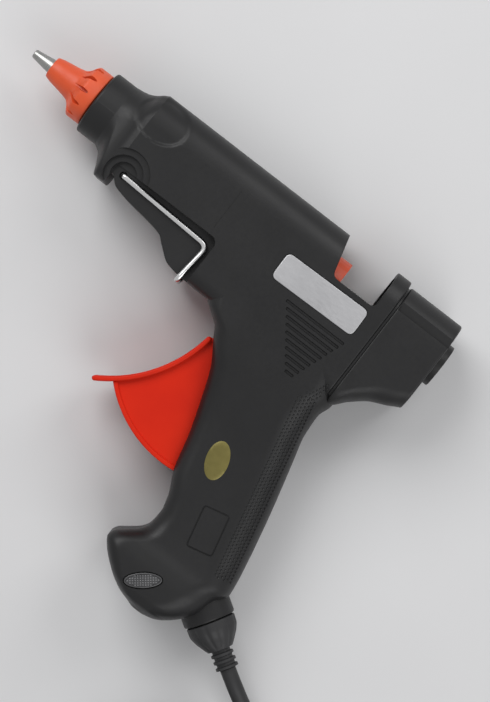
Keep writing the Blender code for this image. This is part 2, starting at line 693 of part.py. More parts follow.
def eased(rows, place):
    """A smooth curve through rows of (place, value), with no overshoot between them."""
    places = np.array([row[0] for row in rows])
    values = np.array([row[1] for row in rows])
    steps = np.diff(places)
    slopes = np.diff(values) / steps
    tangents = np.zeros(len(rows))
    same_way = slopes[:-1] * slopes[1:] > 0
    harmonic = 2 * slopes[:-1] * slopes[1:] / np.where(same_way, slopes[:-1] + slopes[1:], 1)
    tangents[1:-1] = np.where(same_way, harmonic, 0)
    tangents[0] = slopes[0]
    tangents[-1] = slopes[-1]
    i = int(np.clip(np.searchsorted(places, place) - 1, 0, len(steps) - 1))
    t = (place - places[i]) / steps[i]
    start = (1 + 2 * t) * (1 - t) ** 2 * values[i] + t * (1 - t) ** 2 * steps[i] * tangents[i]
    end = t * t * (3 - 2 * t) * values[i + 1] - t * t * (1 - t) * steps[i] * tangents[i + 1]
    return start + end


def half_section(low, high, half_width, low_fillet, high_fillet, base, segments):
    """(across, side) points of half a rounded section, from its low to its high edge."""
    room = min(half_width - base, (high - low) / 2) * FILLET_ROOM_SHARE
    low_fillet = min(low_fillet, room)
    high_fillet = min(high_fillet, room)
    quarter = math.pi / 2
    return ([(low, base)]
            + arc((low + low_fillet, half_width - low_fillet), low_fillet, 2 * quarter, quarter,
                  segments + 1)
            + arc((high - high_fillet, half_width - high_fillet), high_fillet, quarter, 0,
                  segments + 1)
            + [(high, base)])


def loft(name, rings):
    """A solid through rings of equal count, closed by a cap at each end."""
    bm = bmesh.new()
    layers = [[bm.verts.new(point) for point in ring] for ring in rings]
    count = len(rings[0])
    for lower, upper in zip(layers, layers[1:]):
        for i in range(count):
            j = (i + 1) % count
            bm.faces.new((lower[i], lower[j], upper[j], upper[i]))
    bm.faces.new(layers[0])
    bm.faces.new(reversed(layers[-1]))
    return mesh_piece(name, bm)


def barrel_rows():
    """(ahead, roof, depth, half width, roof fillet, belly fillet) from nose to rear."""
    rows = [(NOSE_AHEAD, NOSE_RADIUS, NOSE_RADIUS, NOSE_RADIUS, NOSE_RADIUS, NOSE_RADIUS)]
    for along, roof, depth, width in FLARE_SHARES:
        rows.append((between(FLARE_AHEAD, BARREL_AHEAD, along),
                     between(NOSE_RADIUS, ROOF_HEIGHT, roof),
                     between(NOSE_RADIUS, LOBE_DEPTH, depth),
                     between(NOSE_RADIUS, BARREL_HALF_WIDTH, width),
                     between(NOSE_RADIUS, ROOF_FILLET, width),
                     between(NOSE_RADIUS, BELLY_FILLET, depth)))
    belly_rear = FACE_TOP_AHEAD + TRIGGER_FACE_THICKNESS
    for along, depth in BELLY_SHARES:
        rows.append((between(BARREL_AHEAD - SEAM_WIDTH, belly_rear, along), ROOF_HEIGHT,
                     between(CHIN_DEPTH, BELLY_DEPTH, depth), BARREL_HALF_WIDTH,
                     ROOF_FILLET, BELLY_FILLET))
    flat = (ROOF_HEIGHT, BARREL_HALF_WIDTH, ROOF_FILLET, BELLY_FILLET)
    rows.append((WINDOW_FRONT_AHEAD, flat[0], ROOT_DEPTH, *flat[1:]))
    rows.append((SEAM_AHEAD + SEAM_WIDTH, flat[0], HEEL_DEPTH, *flat[1:3], REAR_FILLET))
    for inset, ahead in ((SEAM_DEPTH, SEAM_AHEAD + SEAM_WIDTH / 2 - GAP),
                         (SEAM_DEPTH, SEAM_AHEAD - SEAM_WIDTH / 2),
                         (0.0, SEAM_AHEAD - SEAM_WIDTH / 2 - GAP)):
        rows.append((ahead, REAR_ROOF_HEIGHT - inset, HEEL_DEPTH - inset,
                     BARREL_HALF_WIDTH - inset, ROOF_FILLET, REAR_FILLET))
    for along, depth in REAR_UNDERSIDE_SHARES:
        rows.append((between(SEAM_AHEAD - SEAM_WIDTH, REAR_FACE_AHEAD, along), REAR_ROOF_HEIGHT,
                     between(REAR_CORNER_DEPTH, HEEL_DEPTH, depth), BARREL_HALF_WIDTH,
                     ROOF_FILLET, REAR_FILLET))
    rows.append((REAR_FACE_AHEAD, REAR_ROOF_HEIGHT - SEAM_WIDTH, REAR_CORNER_DEPTH - WALL / 2,
                 BARREL_HALF_WIDTH - SEAM_WIDTH, ROOF_FILLET, REAR_FILLET))
    return rows


def barrel_ring(row, side, base, inset=0.0, segments=ARC_SEGMENTS):
    ahead, roof, depth, half_width, roof_fillet, belly_fillet = row
    section = half_section(-depth + inset, roof - inset, half_width - inset,
                           belly_fillet - inset, roof_fillet - inset, base, segments)
    return [(-ahead, height, side * across) for height, across in section]


def grip_edges(level):
    """The grip's front and back edges, ahead, and its half width at a share of its depth."""
    front = GRIP_SPREAD_START_AHEAD + GRIP_SPREAD * (eased(GRIP_FRONT_SHARES, level))
    back = GRIP_SPREAD_START_AHEAD + GRIP_SPREAD * (eased(GRIP_BACK_SHARES, level))
    width = between(GRIP_HALF_WIDTH, BUTT_HALF_WIDTH, eased(GRIP_WIDTH_SHARES, level))
    return front, back, width


def grip_depth(level):
    return between(GRIP_ROOT_DEPTH, GRIP_DEPTH, level)


def grip_ring(level, side, base, inset=0.0, segments=ARC_SEGMENTS):
    front, back, width = grip_edges(level)
    section = half_section(-front + inset, -back - inset, width - inset,
                           GRIP_FRONT_FILLET - inset, GRIP_BACK_FILLET - inset, base, segments)
    return [(along, -grip_depth(level), side * across) for along, across in section]


def belly_depth(ahead):
    start = BARREL_AHEAD - SEAM_WIDTH
    end = FACE_TOP_AHEAD + TRIGGER_FACE_THICKNESS
    return between(CHIN_DEPTH, BELLY_DEPTH, eased(BELLY_SHARES, (start - ahead) / (start - end)))


def cavity_rows():
    """Inner rows of the barrel: shallow over the stand's band, deep behind it."""
    inner_nose = NOSE_RADIUS - WALL
    shallow = BAND_TOP_DEPTH - WALL
    roof = ROOF_HEIGHT - WALL
    width = BARREL_HALF_WIDTH - WALL
    round_nose = (inner_nose, inner_nose, inner_nose, inner_nose, inner_nose)
    fillets = (ROOF_FILLET - WALL, BELLY_FILLET - WALL)
    rear_fillets = (ROOF_FILLET - WALL, REAR_FILLET - WALL)
    rear_roof = REAR_ROOF_HEIGHT - WALL
    heel = HEEL_DEPTH - WALL
    return (
        (NOSE_AHEAD - WALL, *round_nose),
        (FLARE_AHEAD - WALL, *round_nose),
        (BARREL_AHEAD, roof, shallow, width - WALL, *fillets),
        (BARREL_AHEAD - WALL, roof, shallow, width, *fillets),
        (BAND_REAR_AHEAD, roof, shallow, width, *fillets),
        (BAND_REAR_AHEAD - WALL, roof, BELLY_DEPTH - WALL, width, *fillets),
        (WINDOW_FRONT_AHEAD, roof, BELLY_DEPTH - WALL, width, *fillets),
        (SEAM_AHEAD + WALL, roof, heel, width, *rear_fillets),
        (SEAM_AHEAD, rear_roof, heel, width, *rear_fillets),
        (between(SEAM_AHEAD, REAR_FACE_AHEAD, REAR_UNDERSIDE_SHARES[1][0]), rear_roof,
         between(REAR_CORNER_DEPTH, heel, REAR_UNDERSIDE_SHARES[1][1]), width, *rear_fillets),
        (between(SEAM_AHEAD, REAR_FACE_AHEAD, REAR_UNDERSIDE_SHARES[2][0]), rear_roof,
         between(REAR_CORNER_DEPTH, heel, REAR_UNDERSIDE_SHARES[2][1]) - WALL, width,
         *rear_fillets),
        (REAR_FACE_AHEAD + WALL, rear_roof, REAR_CORNER_DEPTH - WALL, width, *rear_fillets))


def belly_cavity_outline():
    """The belly's inner outline under the stand's band, in the side plane."""
    front = BELLY_CAVITY_FRONT
    rear = BAND_REAR_AHEAD - 2 * WALL
    shallow = BAND_TOP_DEPTH - 2 * WALL
    points = [(-front, -shallow)]
    for ahead in np.linspace(front, rear, BELLY_CAVITY_POINTS):
        points.append((-ahead, -belly_depth(ahead) + WALL))
    points.append((-rear, -shallow))
    return points


def outlet_aim():
    """The way in which the cord leaves the heel."""
    return Vector((math.cos(OUTLET_ANGLE), math.sin(OUTLET_ANGLE), 0))


def outlet_point(along, across=0.0):
    """A point along the cord outlet's line from the heel, in the side plane."""
    aim = outlet_aim()
    normal = Vector((-aim.y, aim.x, 0))
    return at(OUTLET_AHEAD, -OUTLET_DEPTH) + aim * along + normal * across


def screw_boss_outer(index):
    """How far out from the parting plane a screw's boss may reach, inside its wall."""
    ahead, depth = SCREW_PLACES[index]
    if depth > HEEL_DEPTH:
        level = (depth - GRIP_ROOT_DEPTH) / (GRIP_DEPTH - GRIP_ROOT_DEPTH)
        return grip_edges(level)[2] - WALL / 2
    if ahead > BARREL_AHEAD:
        return NOSE_RADIUS - WALL / 2
    if depth < 0:
        return BARREL_HALF_WIDTH - ROOF_FILLET / 2
    return BARREL_HALF_WIDTH - WALL / 2


def half_rod(name, side, ahead, height, radius, inner, outer, segments=12):
    """A cylinder across the gun, between two distances out from the parting plane."""
    return rod(name, at(ahead, height, side * inner), at(ahead, height, side * outer), radius,
               segments)


def half_box(name, side, aheads, heights, inner, outer):
    return box(name, at(aheads[0], heights[0], side * inner),
               at(aheads[1], heights[1], side * outer))


def housing_shell(name, side):
    """One moulded half: the barrel and grip skins, hollowed, with its inner fittings."""
    base = -OVERRUN
    shell = loft(name, [barrel_ring(row, side, base) for row in barrel_rows()])
    levels = (list(np.linspace(0, BUTT_START_SHARE, GRIP_TOP_LEVELS))
              + list(np.linspace(BUTT_START_SHARE, 1, BUTT_LEVELS))[1:])
    join(shell, loft(name + "_grip", [grip_ring(level, side, base) for level in levels]),
         rod(name + "_socket", outlet_point(-SOCKET_LENGTH), outlet_point(SOCKET_LENGTH),
             SOCKET_RADIUS))
    hollow_base = base - OVERRUN
    inner_levels = [*np.linspace(0, INNER_BUTT_SHARES[0], INNER_LEVELS), *INNER_BUTT_SHARES[1:]]
    hollows = [
        loft(name + "_barrel_hollow",
             [barrel_ring(row, side, hollow_base) for row in cavity_rows()]),
        plate(name + "_belly_hollow", [belly_cavity_outline()], side * hollow_base,
              side * (BAND_HALF_WIDTH - WALL)),
        loft(name + "_grip_hollow",
             [grip_ring(level, side, hollow_base, GRIP_WALL) for level in inner_levels])]
    cut(shell, *hollows)
    return shell


def add_inner_fittings(shell, name, side):
    """Screw bosses, chamber ribs, carriage rails and the seats of collar and trigger pin."""
    boss_radius = SCREW_BOSS_RADIUS
    for index, (ahead, depth) in enumerate(SCREW_PLACES):
        if index:
            join(shell, half_rod(f"{name}_boss_{index + 1}", side, ahead, -depth, boss_radius,
                                 -OVERRUN, screw_boss_outer(index)))
    wall_line = BARREL_HALF_WIDTH - WALL / 2
    shallow = BAND_TOP_DEPTH - WALL / 2
    roof_line = ROOF_HEIGHT - WALL / 2
    for label, inset in zip(("front", "rear"), CHAMBER_RIB_INSETS):
        ahead = HEATER_FRONT_AHEAD - inset
        rib = half_box(f"{name}_rib_{label}", side, (ahead, ahead - WALL),
                       (-shallow, roof_line), -OVERRUN, wall_line)
        trim = half_box(f"{name}_rib_{label}_roof", side, (ahead + WALL, ahead - 2 * WALL),
                        (roof_line - ROOF_FILLET / 2, ROOF_HEIGHT),
                        wall_line - ROOF_FILLET / 2, BARREL_HALF_WIDTH)
        cut(rib, trim)
        join(shell, rib)
    neck_rib = NOSE_AHEAD - WALL - FRONT_RING_THICKNESS - 2 * GAP
    join(shell, half_box(name + "_nose_rib", side, (neck_rib, neck_rib - WALL),
                         (-NOSE_RADIUS + WALL * 2, NOSE_RADIUS - WALL * 2), -OVERRUN,
                         NOSE_RADIUS - WALL * 2))
    for label, height in (("upper", -CARRIAGE_WING_DEPTH + CARRIAGE_WING_THICKNESS / 2
                           + RUNNING_GAP),
                          ("lower", -CARRIAGE_WING_DEPTH - CARRIAGE_WING_THICKNESS / 2
                           - RUNNING_GAP - RAIL_THICKNESS)):
        join(shell, half_box(f"{name}_rail_{label}", side, (RAIL_FRONT_AHEAD, RAIL_REAR_AHEAD),
                             (height, height + RAIL_THICKNESS),
                             CARRIAGE_RADIUS + 2 * RUNNING_GAP, wall_line))
    collar_rib = REAR_FACE_AHEAD + WALL + COLLAR_FLANGE_THICKNESS + 2 * GAP
    join(shell, half_box(name + "_collar_rib", side, (collar_rib + WALL, collar_rib),
                         (-REAR_CORNER_DEPTH + WALL * 2, REAR_ROOF_HEIGHT - WALL / 2),
                         -OVERRUN, BARREL_HALF_WIDTH - ROOF_FILLET / 2),
         half_rod(name + "_pin_boss", side, TRIGGER_AHEAD, -TRIGGER_DEPTH, TRIGGER_BOSS_RADIUS,
                  ARM_INNER + ARM_THICKNESS + RUNNING_GAP, BARREL_HALF_WIDTH - WALL))
    pad_reach = BOSS_STEP * (BOSS_STEPS + 1)
    join(shell, half_box(name + "_pivot_pad", side, (BARREL_AHEAD, STAND_AHEAD - pad_reach),
                         (-shallow, pad_reach + WALL / 2 - STAND_DEPTH),
                         BAND_HALF_WIDTH - WALL, wall_line))
    if side < 0:
        join(shell, spring_post(name, side))


def spring_post(name, side):
    """The square post that the feed spring hooks on, from the side wall."""
    rear = SPRING_END_AHEAD - GAP
    return half_box(name + "_spring_post", side, (rear, rear - SPRING_RADIUS),
                    (-SPRING_DEPTH - SPRING_RADIUS, -SPRING_DEPTH + SPRING_RADIUS),
                    SPRING_SIDE - SPRING_RADIUS, BARREL_HALF_WIDTH - WALL / 2)


def cut_passages(shell, name, side):
    """Bores, seats and screw holes, made after the ribs that they pass."""
    reach = BARREL_HALF_WIDTH + OVERRUN
    front = NOSE_AHEAD + OVERRUN
    cut(shell,
        rod(name + "_nose_bore", at(front, 0), at(CHAMBER_SHOULDER_AHEAD, 0), NOSE_BORE_RADIUS, 24),
        rod(name + "_chamber_room", at(CHAMBER_SHOULDER_AHEAD + GAP, 0),
            at(FUNNEL_REAR_AHEAD, 0), CHAMBER_RADIUS + GAP, 20),
        half_box(name + "_heater_room", side, (HEATER_FRONT_AHEAD + GAP, CHAMBER_REAR_AHEAD),
                 (-BAND_TOP_DEPTH, 0), -OVERRUN, HEATER_HALF_WIDTH + GAP),
        rod(name + "_collar_bore", at(-OVERRUN, 0), at(REAR_FACE_AHEAD + WALL + GAP, 0),
            COLLAR_RADIUS + GAP, 24),
        rod(name + "_collar_seat",
            at(REAR_FACE_AHEAD + WALL + GAP, 0),
            at(COLLAR_LENGTH + OVERRUN, 0), COLLAR_SLEEVE_RADIUS + GAP, 24))
    pin_hole = half_rod(name + "_pin_hole", side, TRIGGER_AHEAD, -TRIGGER_DEPTH,
                        TRIGGER_PIN_RADIUS + GAP, 0.0, TRIGGER_PIN_HALF_LENGTH + GAP, 12)
    cut(shell, pin_hole)
    for index, (ahead, depth) in enumerate(SCREW_PLACES):
        label = f"{name}_screw_hole_{index + 1}"
        if side > 0:
            cut(shell, half_rod(label, side, ahead, -depth, SCREW_RADIUS + GAP, -OVERRUN,
                                SCREW_BITE + GAP, 8))
        else:
            hole = half_rod(label, side, ahead, -depth, SCREW_RADIUS + GAP, -OVERRUN, reach, 8)
            sink = half_rod(label + "_sink", side, ahead, -depth, SCREW_HEAD_RADIUS + GAP,
                            SCREW_SHOULDER, reach)
            cut(shell, hole, sink)


def cut_openings(shell, name, side):
    """The window notch, trigger slot, stand band, pivot holes and the cord's outlet."""
    reach = BARREL_HALF_WIDTH + OVERRUN
    top = ROOF_HEIGHT + OVERRUN
    front_low = -WINDOW_FRONT_AHEAD + WINDOW_SLANT
    window = ([(-WINDOW_REAR_AHEAD, top), (-WINDOW_FRONT_AHEAD, top),
               (front_low - WINDOW_CORNER / 2, WINDOW_SILL + WINDOW_CORNER)]
              + arc((front_low + WINDOW_CORNER, WINDOW_SILL + WINDOW_CORNER), WINDOW_CORNER,
                    math.pi * WINDOW_CORNER_START_SHARE, math.pi * 3 / 2, 4)
              + [(-WINDOW_REAR_AHEAD, WINDOW_SILL)])
    band_low = -LOBE_DEPTH - OVERRUN - BELLY_DEPTH
    band = [(-BARREL_AHEAD + GAP, -BAND_TOP_DEPTH), (-BARREL_AHEAD + GAP, band_low),
            (-BAND_REAR_AHEAD, band_low),
            (-BAND_REAR_AHEAD, -BAND_TOP_DEPTH - STAND_ARM_DROP - STAND_BEND),
            (-BAND_REAR_AHEAD - STAND_BEND, -BAND_TOP_DEPTH - STAND_ARM_DROP)]
    cut(shell,
        plate(name + "_window", [window], -OVERRUN * 2 * side, reach * side),
        half_box(name + "_trigger_slot", side,
                 (SLOT_FRONT_AHEAD, SLOT_REAR_AHEAD), (-SLOT_TOP_DEPTH, -SLOT_LOW_DEPTH),
                 -OVERRUN * 2, SLOT_HALF_WIDTH),
        plate(name + "_band", [band], BAND_HALF_WIDTH * side, reach * side))
    for step in range(BOSS_STEPS):
        radius = BOSS_STEP * (step + 2)
        floor = between(BAND_HALF_WIDTH, BARREL_HALF_WIDTH, (step + BOSS_STEP_START_SHARE)
                        / BOSS_STEPS)
        cut(shell, half_rod(f"{name}_pivot_step_{step + 1}", side, STAND_AHEAD, -STAND_DEPTH,
                            radius, floor, reach, 20))
    cut(shell,
        half_rod(name + "_stand_hole", side, STAND_AHEAD, -STAND_DEPTH, STAND_HOLE_RADIUS,
                 BAND_HALF_WIDTH - 2 * WALL, reach, 12),
        rod(name + "_outlet", outlet_point(SOCKET_LENGTH + OVERRUN),
            outlet_point(-SOCKET_LENGTH - OVERRUN), BOOT_NECK_RADIUS + GAP, 20),
        rod(name + "_outlet_flange", outlet_point(-SOCKET_LENGTH + WALL),
            outlet_point(-SOCKET_LENGTH + WALL - BOOT_FLANGE_THICKNESS - 2 * GAP - OVERRUN),
            BOOT_FLANGE_RADIUS + GAP, 20))


def cut_surface_lines(shell, name, side):
    """Groove field, oval dish, roof ledge, switch outline and lens window."""
    reach = BARREL_HALF_WIDTH + OVERRUN
    skin = BARREL_HALF_WIDTH
    for row in range(GROOVE_COUNT):
        share = row / (GROOVE_COUNT - 1)
        height = -GROOVE_TOP_DEPTH - row * GROOVE_PITCH
        length = between(GROOVE_TOP_LENGTH, GROOVE_LOW_LENGTH, share)
        front = between(GROOVE_REAR_AHEAD + GROOVE_TOP_LENGTH,
                        GROOVE_REAR_AHEAD + GROOVE_TOP_LENGTH - GROOVE_FRONT_DRIFT, share)
        cut(shell, half_box(f"{name}_groove_{row + 1}", side, (front, front - length),
                            (height, height - GROOVE_WIDTH), skin - groove_floor(height), reach))
    cut(shell,
        plate(name + "_dish", [oval((-DISH_AHEAD, DISH_HEIGHT), DISH_LENGTH, DISH_WIDTH, 0)],
              (skin - DISH_DEPTH) * side, reach * side),
        half_box(name + "_roof_ledge", side, (SEAM_AHEAD - SEAM_WIDTH, -OVERRUN),
                 (REAR_LEDGE_HEIGHT, ROOF_HEIGHT + OVERRUN), skin - REAR_LEDGE_STEP, reach))
    if side > 0:
        switch = [rounded_box_outline(SWITCH_LENGTH, SWITCH_WIDTH, SWITCH_CORNER,
                                      at(SWITCH_AHEAD, -SWITCH_DROP), GRIP_LEAN),
                  rounded_box_outline(SWITCH_LENGTH - 2 * SWITCH_LINE,
                                      SWITCH_WIDTH - 2 * SWITCH_LINE,
                                      SWITCH_CORNER - SWITCH_LINE,
                                      at(SWITCH_AHEAD, -SWITCH_DROP), GRIP_LEAN)]
        lens = oval((-LENS_AHEAD, -LENS_DROP), LENS_LENGTH + 2 * GAP, LENS_WIDTH + 2 * GAP,
                    LENS_ANGLE)
        cut(shell,
            plate(name + "_switch_line", switch, GRIP_HALF_WIDTH - SWITCH_LINE_DEPTH, reach),
            plate(name + "_lens_window", [lens], BUTT_HALF_WIDTH - 2 * GRIP_WALL, reach))


def groove_floor(height):
    """How deep a groove's floor lies below the barrel's side, where the grip draws in."""
    level = (-height - GRIP_ROOT_DEPTH) / (GRIP_DEPTH - GRIP_ROOT_DEPTH)
    drawn_in = BARREL_HALF_WIDTH - grip_edges(level)[2]
    return GROOVE_DEPTH + drawn_in


def housing(name, side):
    shell = housing_shell(name, side)
    add_inner_fittings(shell, name, side)
    cut_passages(shell, name, side)
    cut_openings(shell, name, side)
    cut_surface_lines(shell, name, side)
    far = GUN_REACH + OVERRUN
    low = GRIP_DEPTH + 2 * SOCKET_RADIUS
    if side < 0:
        add_cord_saddle(shell, name)
    cut(shell, box(name + "_parting", at(far, ROOF_HEIGHT + OVERRUN, side * PARTING_GAP / 2),
                   at(-SOCKET_RADIUS, -low, -side * (BARREL_HALF_WIDTH + 2 * OVERRUN))))
    return own(shell, HOUSING_BLACK)


def clamp_block_outline():
    """The cord clamp's outline in the side plane, square to the cord."""
    low = CORD_CLAMP_ALONG - CORD_CLAMP_LENGTH / 2
    high = CORD_CLAMP_ALONG + CORD_CLAMP_LENGTH / 2
    span = CORD_CLAMP_HALF_SPAN
    corners = ((low, -span), (high, -span), (high, span), (low, span))
    return [tuple(outlet_point(along, across)[:2]) for along, across in corners]


def clamp_screw_place(index, side):
    across = CORD_CLAMP_SCREW_OFFSET * (1 if index else -1)
    return outlet_point(CORD_CLAMP_ALONG, across) + Vector((0, 0, side))


def add_cord_saddle(shell, name):
    """The block that the cord lies in, with the cord clamp's two screw holes."""
    low = -BUTT_HALF_WIDTH + GRIP_WALL / 2
    join(shell, plate(name + "_saddle", [clamp_block_outline()], low, 0))
    end = CORD_CLAMP_LENGTH
    cut(shell, rod(name + "_saddle_groove", outlet_point(CORD_CLAMP_ALONG - end),
                   outlet_point(CORD_CLAMP_ALONG + end), CORD_RADIUS + GAP, 16))
    for index in range(2):
        cut(shell, rod(f"{name}_saddle_hole_{index + 1}",
                       clamp_screw_place(index, OVERRUN),
                       clamp_screw_place(index, -CLAMP_SCREW_BITE - GAP),
                       CLAMP_SCREW_RADIUS + GAP, 10))


housing("housing_left", 1)
housing("housing_right", -1)


def nozzle_line(radius_gap):
    """The nozzle's outer side as (radius, along) from its shoulder to its foot."""
    return [(TIP_SHOULDER_RADIUS + radius_gap, TIP_SHOULDER_ALONG),
            (NOZZLE_FLARE_RADIUS + radius_gap, NOZZLE_FLARE_ALONG),
            (NOZZLE_FOOT_RADIUS + radius_gap, NOZZLE_FOOT_ALONG)]


def nozzle_and_boot():
    """The turned nozzle, and the moulded boot that follows it outside."""
    tip = at(GUN_REACH, 0)
    rearwards = Vector((1, 0, 0))
    nozzle = turned("nozzle", [(NOZZLE_OUTLET_RADIUS, 0), (TIP_RADIUS, 0)] + nozzle_line(0) + [
        (NOZZLE_FOOT_RADIUS, NOZZLE_SPIGOT_ALONG), (NOZZLE_SPIGOT_RADIUS, NOZZLE_SPIGOT_ALONG),
        (NOZZLE_SPIGOT_RADIUS, NOZZLE_END_ALONG), (NOZZLE_BORE_RADIUS, NOZZLE_END_ALONG),
        (NOZZLE_BORE_RADIUS, NOZZLE_BORE_ALONG), (NOZZLE_OUTLET_RADIUS, NOZZLE_OUTLET_ALONG)],
        tip, rearwards, 20)
    own(nozzle, NOZZLE_METAL)
    inner = [(NOZZLE_FOOT_RADIUS + GAP, BOOT_END_ALONG)] + nozzle_line(GAP)[::-1]
    inner.append((TIP_SHOULDER_RADIUS + GAP, BOOT_START_ALONG))
    outer = [(TIP_SHOULDER_RADIUS + GAP + BOOT_WALL, BOOT_START_ALONG),
             (NOZZLE_FLARE_RADIUS + GAP + BOOT_WALL, NOZZLE_FLARE_ALONG),
             (BOOT_SHOULDER_RADIUS, BOOT_SHOULDER_ALONG),
             (BOOT_FOOT_RADIUS, BOOT_FOOT_ALONG), (BOOT_FOOT_RADIUS, BOOT_END_ALONG)]
    boot = turned("nozzle_boot", outer + inner, tip, rearwards, 24)
    slots = bmesh.new()
    floor = BOOT_FOOT_RADIUS - BOOT_FIN_DEPTH
    size = (BOOT_END_ALONG - BOOT_FIN_ALONG + OVERRUN, BOOT_FIN_GAP, 2 * BOOT_FIN_DEPTH)
    centre = (size[0] / 2 - GUN_REACH + BOOT_FIN_ALONG, 0, floor + size[2] / 2)
    for turn in np.linspace(0, math.tau, BOOT_FIN_COUNT, endpoint=False):
        place = (Matrix.Rotation(turn + math.pi / BOOT_FIN_COUNT, 4, "X")
                 @ Matrix.Translation(centre) @ Matrix.Diagonal((*size, 1)))
        bmesh.ops.create_cube(slots, size=1.0, matrix=place)
    cut(boot, mesh_piece("nozzle_boot_slots", slots))
    own(boot, SILICONE_ORANGE)


def melt_chamber():
    """The cast chamber: a bored tube with a neck, and a heater channel under it."""
    neck_end = GUN_REACH - NOZZLE_SPIGOT_ALONG - GAP
    shoulder = neck_end - CHAMBER_SHOULDER_AHEAD
    rear = neck_end - CHAMBER_REAR_AHEAD
    tube_part = turned("melt_chamber", [
        (CHAMBER_NECK_BORE_RADIUS, 0), (CHAMBER_NECK_RADIUS, 0), (CHAMBER_NECK_RADIUS, shoulder),
        (CHAMBER_RADIUS, shoulder), (CHAMBER_RADIUS, rear), (CHAMBER_BORE_RADIUS, rear),
        (CHAMBER_BORE_RADIUS, CHAMBER_NECK_BORE_LENGTH + CHAMBER_SEAT_TAPER),
        (CHAMBER_NECK_BORE_RADIUS, CHAMBER_NECK_BORE_LENGTH)],
        at(neck_end, 0), Vector((1, 0, 0)), 24)
    channel = box("melt_chamber_channel", at(HEATER_FRONT_AHEAD, -HEATER_DEPTH, HEATER_HALF_WIDTH),
                  at(HEATER_REAR_AHEAD, 0, -HEATER_HALF_WIDTH))
    bore = rod("melt_chamber_bore", at(HEATER_FRONT_AHEAD + OVERRUN, 0),
               at(HEATER_REAR_AHEAD - OVERRUN, 0), (CHAMBER_RADIUS + CHAMBER_BORE_RADIUS) / 2, 24)
    pocket_low = -POCKET_TOP_DEPTH - SLEEVE_HEIGHT - WEDGE_THICKNESS - 3 * GAP
    pocket = box("melt_chamber_pocket",
                 at(HEATER_FRONT_AHEAD + OVERRUN, pocket_low, POCKET_HALF_WIDTH),
                 at(HEATER_REAR_AHEAD - OVERRUN, -POCKET_TOP_DEPTH, -POCKET_HALF_WIDTH))
    cut(channel, bore, pocket)
    join(tube_part, channel)
    own(tube_part, CAST_ALUMINIUM)
    ring_start = NOSE_AHEAD - WALL - GAP
    ring = turned("chamber_front_ring", [
        (FRONT_RING_BORE_RADIUS, 0), (FRONT_RING_RADIUS, 0),
        (FRONT_RING_RADIUS, FRONT_RING_THICKNESS), (FRONT_RING_BORE_RADIUS, FRONT_RING_THICKNESS)],
        at(ring_start, 0), Vector((1, 0, 0)), 24)
    own(ring, PHENOLIC)


def slab(name, length, half_width, top, thickness):
    """A flat layer of the heater stack, centred in the channel's length."""
    middle = (HEATER_FRONT_AHEAD + HEATER_REAR_AHEAD) / 2
    return box(name, at(middle + length / 2, top, half_width),
               at(middle - length / 2, top - thickness, -half_width))


def heater_stack():
    """Film sleeve round the two electrodes and their heater, with a wedge under it."""
    sleeve_top = -POCKET_TOP_DEPTH - GAP
    sleeve_half_width = POCKET_HALF_WIDTH - GAP
    sleeve = slab("insulating_sleeve", STACK_LENGTH, sleeve_half_width, sleeve_top, SLEEVE_HEIGHT)
    cut(sleeve, slab("insulating_sleeve_inside", STACK_LENGTH + 2 * OVERRUN,
                     sleeve_half_width - SLEEVE_WALL, sleeve_top - SLEEVE_WALL,
                     SLEEVE_HEIGHT - 2 * SLEEVE_WALL))
    own(sleeve, AMBER_FILM)
    upper_top = sleeve_top - SLEEVE_WALL - GAP
    ptc_top = upper_top - ELECTRODE_THICKNESS - GAP
    lower_top = ptc_top - PTC_THICKNESS - GAP
    core_length = STACK_LENGTH - 2 * TAB_WIDTH
    own(slab("ptc_heater", core_length, PTC_HALF_WIDTH, ptc_top, PTC_THICKNESS), DARK_CERAMIC)
    rear = (HEATER_FRONT_AHEAD + HEATER_REAR_AHEAD - STACK_LENGTH) / 2
    for name, top, side in (("electrode_upper", upper_top, 1), ("electrode_lower", lower_top, -1)):
        electrode = slab(name, core_length, ELECTRODE_HALF_WIDTH, top, ELECTRODE_THICKNESS)
        tab = box(name + "_tab",
                  at(rear + 2 * TAB_WIDTH, top, side * (TAB_SIDE - TAB_WIDTH / 2)),
                  at(rear - TAB_LENGTH, top - ELECTRODE_THICKNESS,
                     side * (TAB_SIDE + TAB_WIDTH / 2)))
        join(electrode, tab)
        own(electrode, ZINC_STEEL)
    wedge_top = sleeve_top - SLEEVE_HEIGHT - GAP
    own(slab("heater_wedge", STACK_LENGTH, PTC_HALF_WIDTH, wedge_top, WEDGE_THICKNESS),
        ZINC_STEEL)


def inlet_sleeve_and_clip():
    """The soft sleeve that leads the stick into the chamber, and its wire clip."""
    lap = FUNNEL_FRONT_AHEAD - CHAMBER_REAR_AHEAD + GAP
    neck = FUNNEL_FRONT_AHEAD - FUNNEL_NECK_AHEAD
    length = FUNNEL_FRONT_AHEAD - FUNNEL_REAR_AHEAD
    seat = CHAMBER_RADIUS + GAP
    rear_radius = FUNNEL_BORE_RADIUS + FUNNEL_REAR_WALL
    sleeve = turned("inlet_sleeve", [
        (seat, 0), (seat + FUNNEL_WALL, 0), (seat + FUNNEL_WALL, lap + FUNNEL_WALL),
        (rear_radius, neck), (rear_radius, length), (FUNNEL_BORE_RADIUS, length),
        (FUNNEL_BORE_RADIUS, lap), (seat, lap)],
        at(FUNNEL_FRONT_AHEAD, 0), Vector((1, 0, 0)), 24)
    own(sleeve, SILICONE_PALE)
    centre = seat + FUNNEL_WALL + GAP + CLIP_WIRE_RADIUS
    wire = arc((centre, 0), CLIP_WIRE_RADIUS, 0, math.tau, 7)[:-1]
    clip = turned("sleeve_clip", wire, at(CLIP_AHEAD, 0), Vector((1, 0, 0)), 16)
    own(clip, BRIGHT_WIRE)


